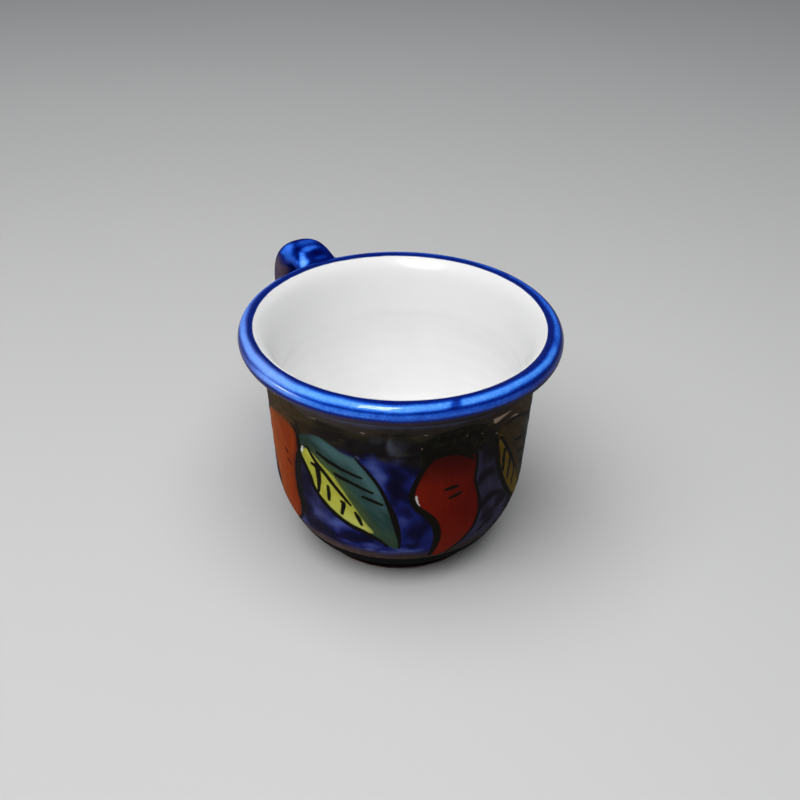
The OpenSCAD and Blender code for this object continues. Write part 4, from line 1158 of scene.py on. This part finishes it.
def white(name, light, dark, lip=None):
    m = Nodes(name)
    co = m.coords()
    n1 = m.noise(co, 45.0, 3.0, 0.55)
    n2 = m.noise(co, 420.0, 4.0, 0.6)
    n3 = m.noise(co, 1500.0, 3.0, 0.6)
    pin = m.step(m.cells(co, 240.0), 0.05, 0.10)                 # a few pinholes and specks in the glaze
    speck = m.mul(m.math("SUBTRACT", 1.0, pin), m.step(n1, 0.60, 0.66))
    col = m.mix(m.step(m.add(n1, m.mul(m.add(n2, -0.5), 0.25)), 0.3, 0.75), dark, light)
    # greyer towards the top of the inside: painted shade that tones down the light falling on the flare
    if lip:
        sep = m.t.nodes.new("ShaderNodeSeparateXYZ")
        m.put(sep.inputs[0], co)
        col = m.mix(m.step(m.add(sep.outputs[2], m.mul(m.add(n1, -0.5), 0.004)), 0.060, 0.072), col, lip)
    col = m.mix(m.mul(speck, 0.25), col, lin(190, 180, 164))
    m.set("Base Color", col)
    m.set("Roughness", m.add(0.17, m.mul(n3, 0.07)))
    m.set("IOR", 1.5)
    m.set("Specular IOR Level", 0.35)
    m.set("Normal", m.bump(m.add(glaze_skin(m, 0.09, 0.12), m.mul(speck, -0.2)), 0.0001, 0.4))
    return m.mat


# near-black coat of the foot: dark glaze, partly painted shade of the underside
def dark_coat():
    m = Nodes("dark_glaze")
    co = m.coords()
    n1 = m.noise(co, 120.0, 4.0, 0.6)
    n2 = m.noise(co, 700.0, 4.0, 0.6)
    col = m.ramp(m.add(n1, m.mul(m.add(n2, -0.5), 0.4)), [(0.25, FOOT_A), (0.55, FOOT_B), (0.8, FOOT_C)])
    m.set("Base Color", col)
    m.set("Roughness", m.add(0.14, m.mul(n2, 0.12)))
    m.set("IOR", 1.5)
    m.set("Specular IOR Level", 0.0)
    m.set("Coat Weight", 0.06)
    m.set("Coat Roughness", 0.1)
    m.set("Coat IOR", 1.5)
    m.set("Normal", m.bump(m.add(glaze_skin(m), m.mul(n2, 0.15)), 0.00014, 0.6))
    return m.mat


def clay(name, a, b, c):
    m = Nodes(name)
    co = m.coords()
    n1 = m.noise(co, 130.0, 4.0, 0.6)
    n2 = m.noise(co, 900.0, 5.0, 0.65)
    grit = m.step(m.cells(co, 700.0), 0.10, 0.24)
    col = m.ramp(m.add(n1, m.mul(m.add(n2, -0.5), 0.5)), [(0.3, a), (0.55, b), (0.8, c)])
    col = m.mix(m.mul(m.math("SUBTRACT", 1.0, grit), 0.5), col, lin(58, 38, 28))
    m.set("Base Color", col)
    m.set("Roughness", m.add(0.72, m.mul(n2, 0.2)))
    m.set("Normal", m.bump(m.add(m.mul(n2, 0.8), m.mul(grit, 0.4)), 0.00018, 0.8))
    return m.mat


wall.data.materials.append(painted())
rim.data.materials.append(cobalt_rim())
strap.data.materials.append(cobalt_handle())
inside.data.materials.append(white("white_glaze", lin(245, 245, 245), lin(242, 242, 242), lin(234, 234, 234)))
base_coat.data.materials.append(white("base_glaze", lin(222, 219, 210), lin(204, 199, 188)))
foot_coat.data.materials.append(dark_coat())
# the unglazed foot ring is a darker brown than the clay body: painted shade of the underside
dry = clay("dry_clay", lin(62, 44, 36), lin(82, 58, 46), lin(104, 78, 62))
foot_ring.data.materials.append(dry)
red_clay = clay("red_clay", lin(150, 86, 58), lin(172, 104, 72), lin(190, 128, 92))
slip_clay = clay("slip_clay", lin(138, 78, 54), lin(160, 96, 66), lin(178, 116, 84))
for node, mat in (("clay_body", red_clay), ("handle", red_clay), ("upper_slip_joint", slip_clay), ("lower_slip_joint", slip_clay)):
    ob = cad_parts[node]
    ob.data.materials.clear()
    ob.data.materials.append(mat)

# ---------------------------------------------------------------- floor and light
fm = Nodes("floor")
fn = fm.noise(fm.coords(), 3.0, 2.0, 0.5)
fm.set("Base Color", fm.mix(fn, lin(206, 206, 206), lin(212, 212, 212)))
fm.set("Roughness", 0.85)
fm.set("Specular IOR Level", 0.15)
me = bpy.data.meshes.new("floor")
me.from_pydata([(-4, -4, 0), (4, -4, 0), (4, 4, 0), (-4, 4, 0)], [], [(0, 1, 2, 3)])
floor = bpy.data.objects.new("floor", me)
floor.location = (0, 0, -0.0002)
me.materials.append(fm.mat)
scene.collection.objects.link(floor)

world = bpy.data.worlds.new("studio")
scene.world = world
world.use_nodes = True
wt = world.node_tree
wt.nodes["Background"].inputs[0].default_value = (0.52, 0.55, 0.6, 1)
wt.nodes["Background"].inputs[1].default_value = 0.22


def area(name, right, front, height, size, power, color=(1, 1, 1), aim=(0, 0, 0.04), size_y=None, spread=180.0):
    d = bpy.data.lights.new(name, "AREA")
    d.shape = "RECTANGLE"
    d.size = size
    d.size_y = size_y or size
    d.energy = power
    d.spread = math.radians(spread)
    d.color = color
    o = bpy.data.objects.new(name, d)
    o.location = RIGHT * right + FRONT * front + Vector((0, 0, height))
    o.rotation_euler = (Vector(aim) - o.location).to_track_quat("-Z", "Y").to_euler()
    scene.collection.objects.link(o)
    return o


ceiling = area("ceiling_light", -0.13, 0.25, 0.85, 1.0, 9.0, (1.0, 0.995, 0.985))
ceiling.visible_glossy = False
top_light = area("top_light", 0.0, 0.10, 0.28, 0.10, 0.07, (1.0, 0.995, 0.985))
top_light.visible_glossy = False
left_light = area("left_light", -0.85, 0.0, 0.06, 0.4, 0.10, (1.0, 0.98, 0.95), size_y=0.03, spread=30.0)
left_light.visible_glossy = False
left_box = area("left_box", -0.80, 0.15, 0.045, 0.45, 0.08, (1.0, 0.98, 0.97), size_y=0.06, spread=30.0)
left_box.visible_diffuse = False
front_light = area("front_light", -0.20, 0.85, 0.06, 0.4, 0.031, (1.0, 0.98, 0.95), size_y=0.03, spread=30.0)
front_light.visible_glossy = False
soft_box = area("soft_box", -0.15, 0.385, 0.70, 0.24, 6.6, (1.0, 0.99, 0.97), size_y=0.36)
soft_box.visible_diffuse = False
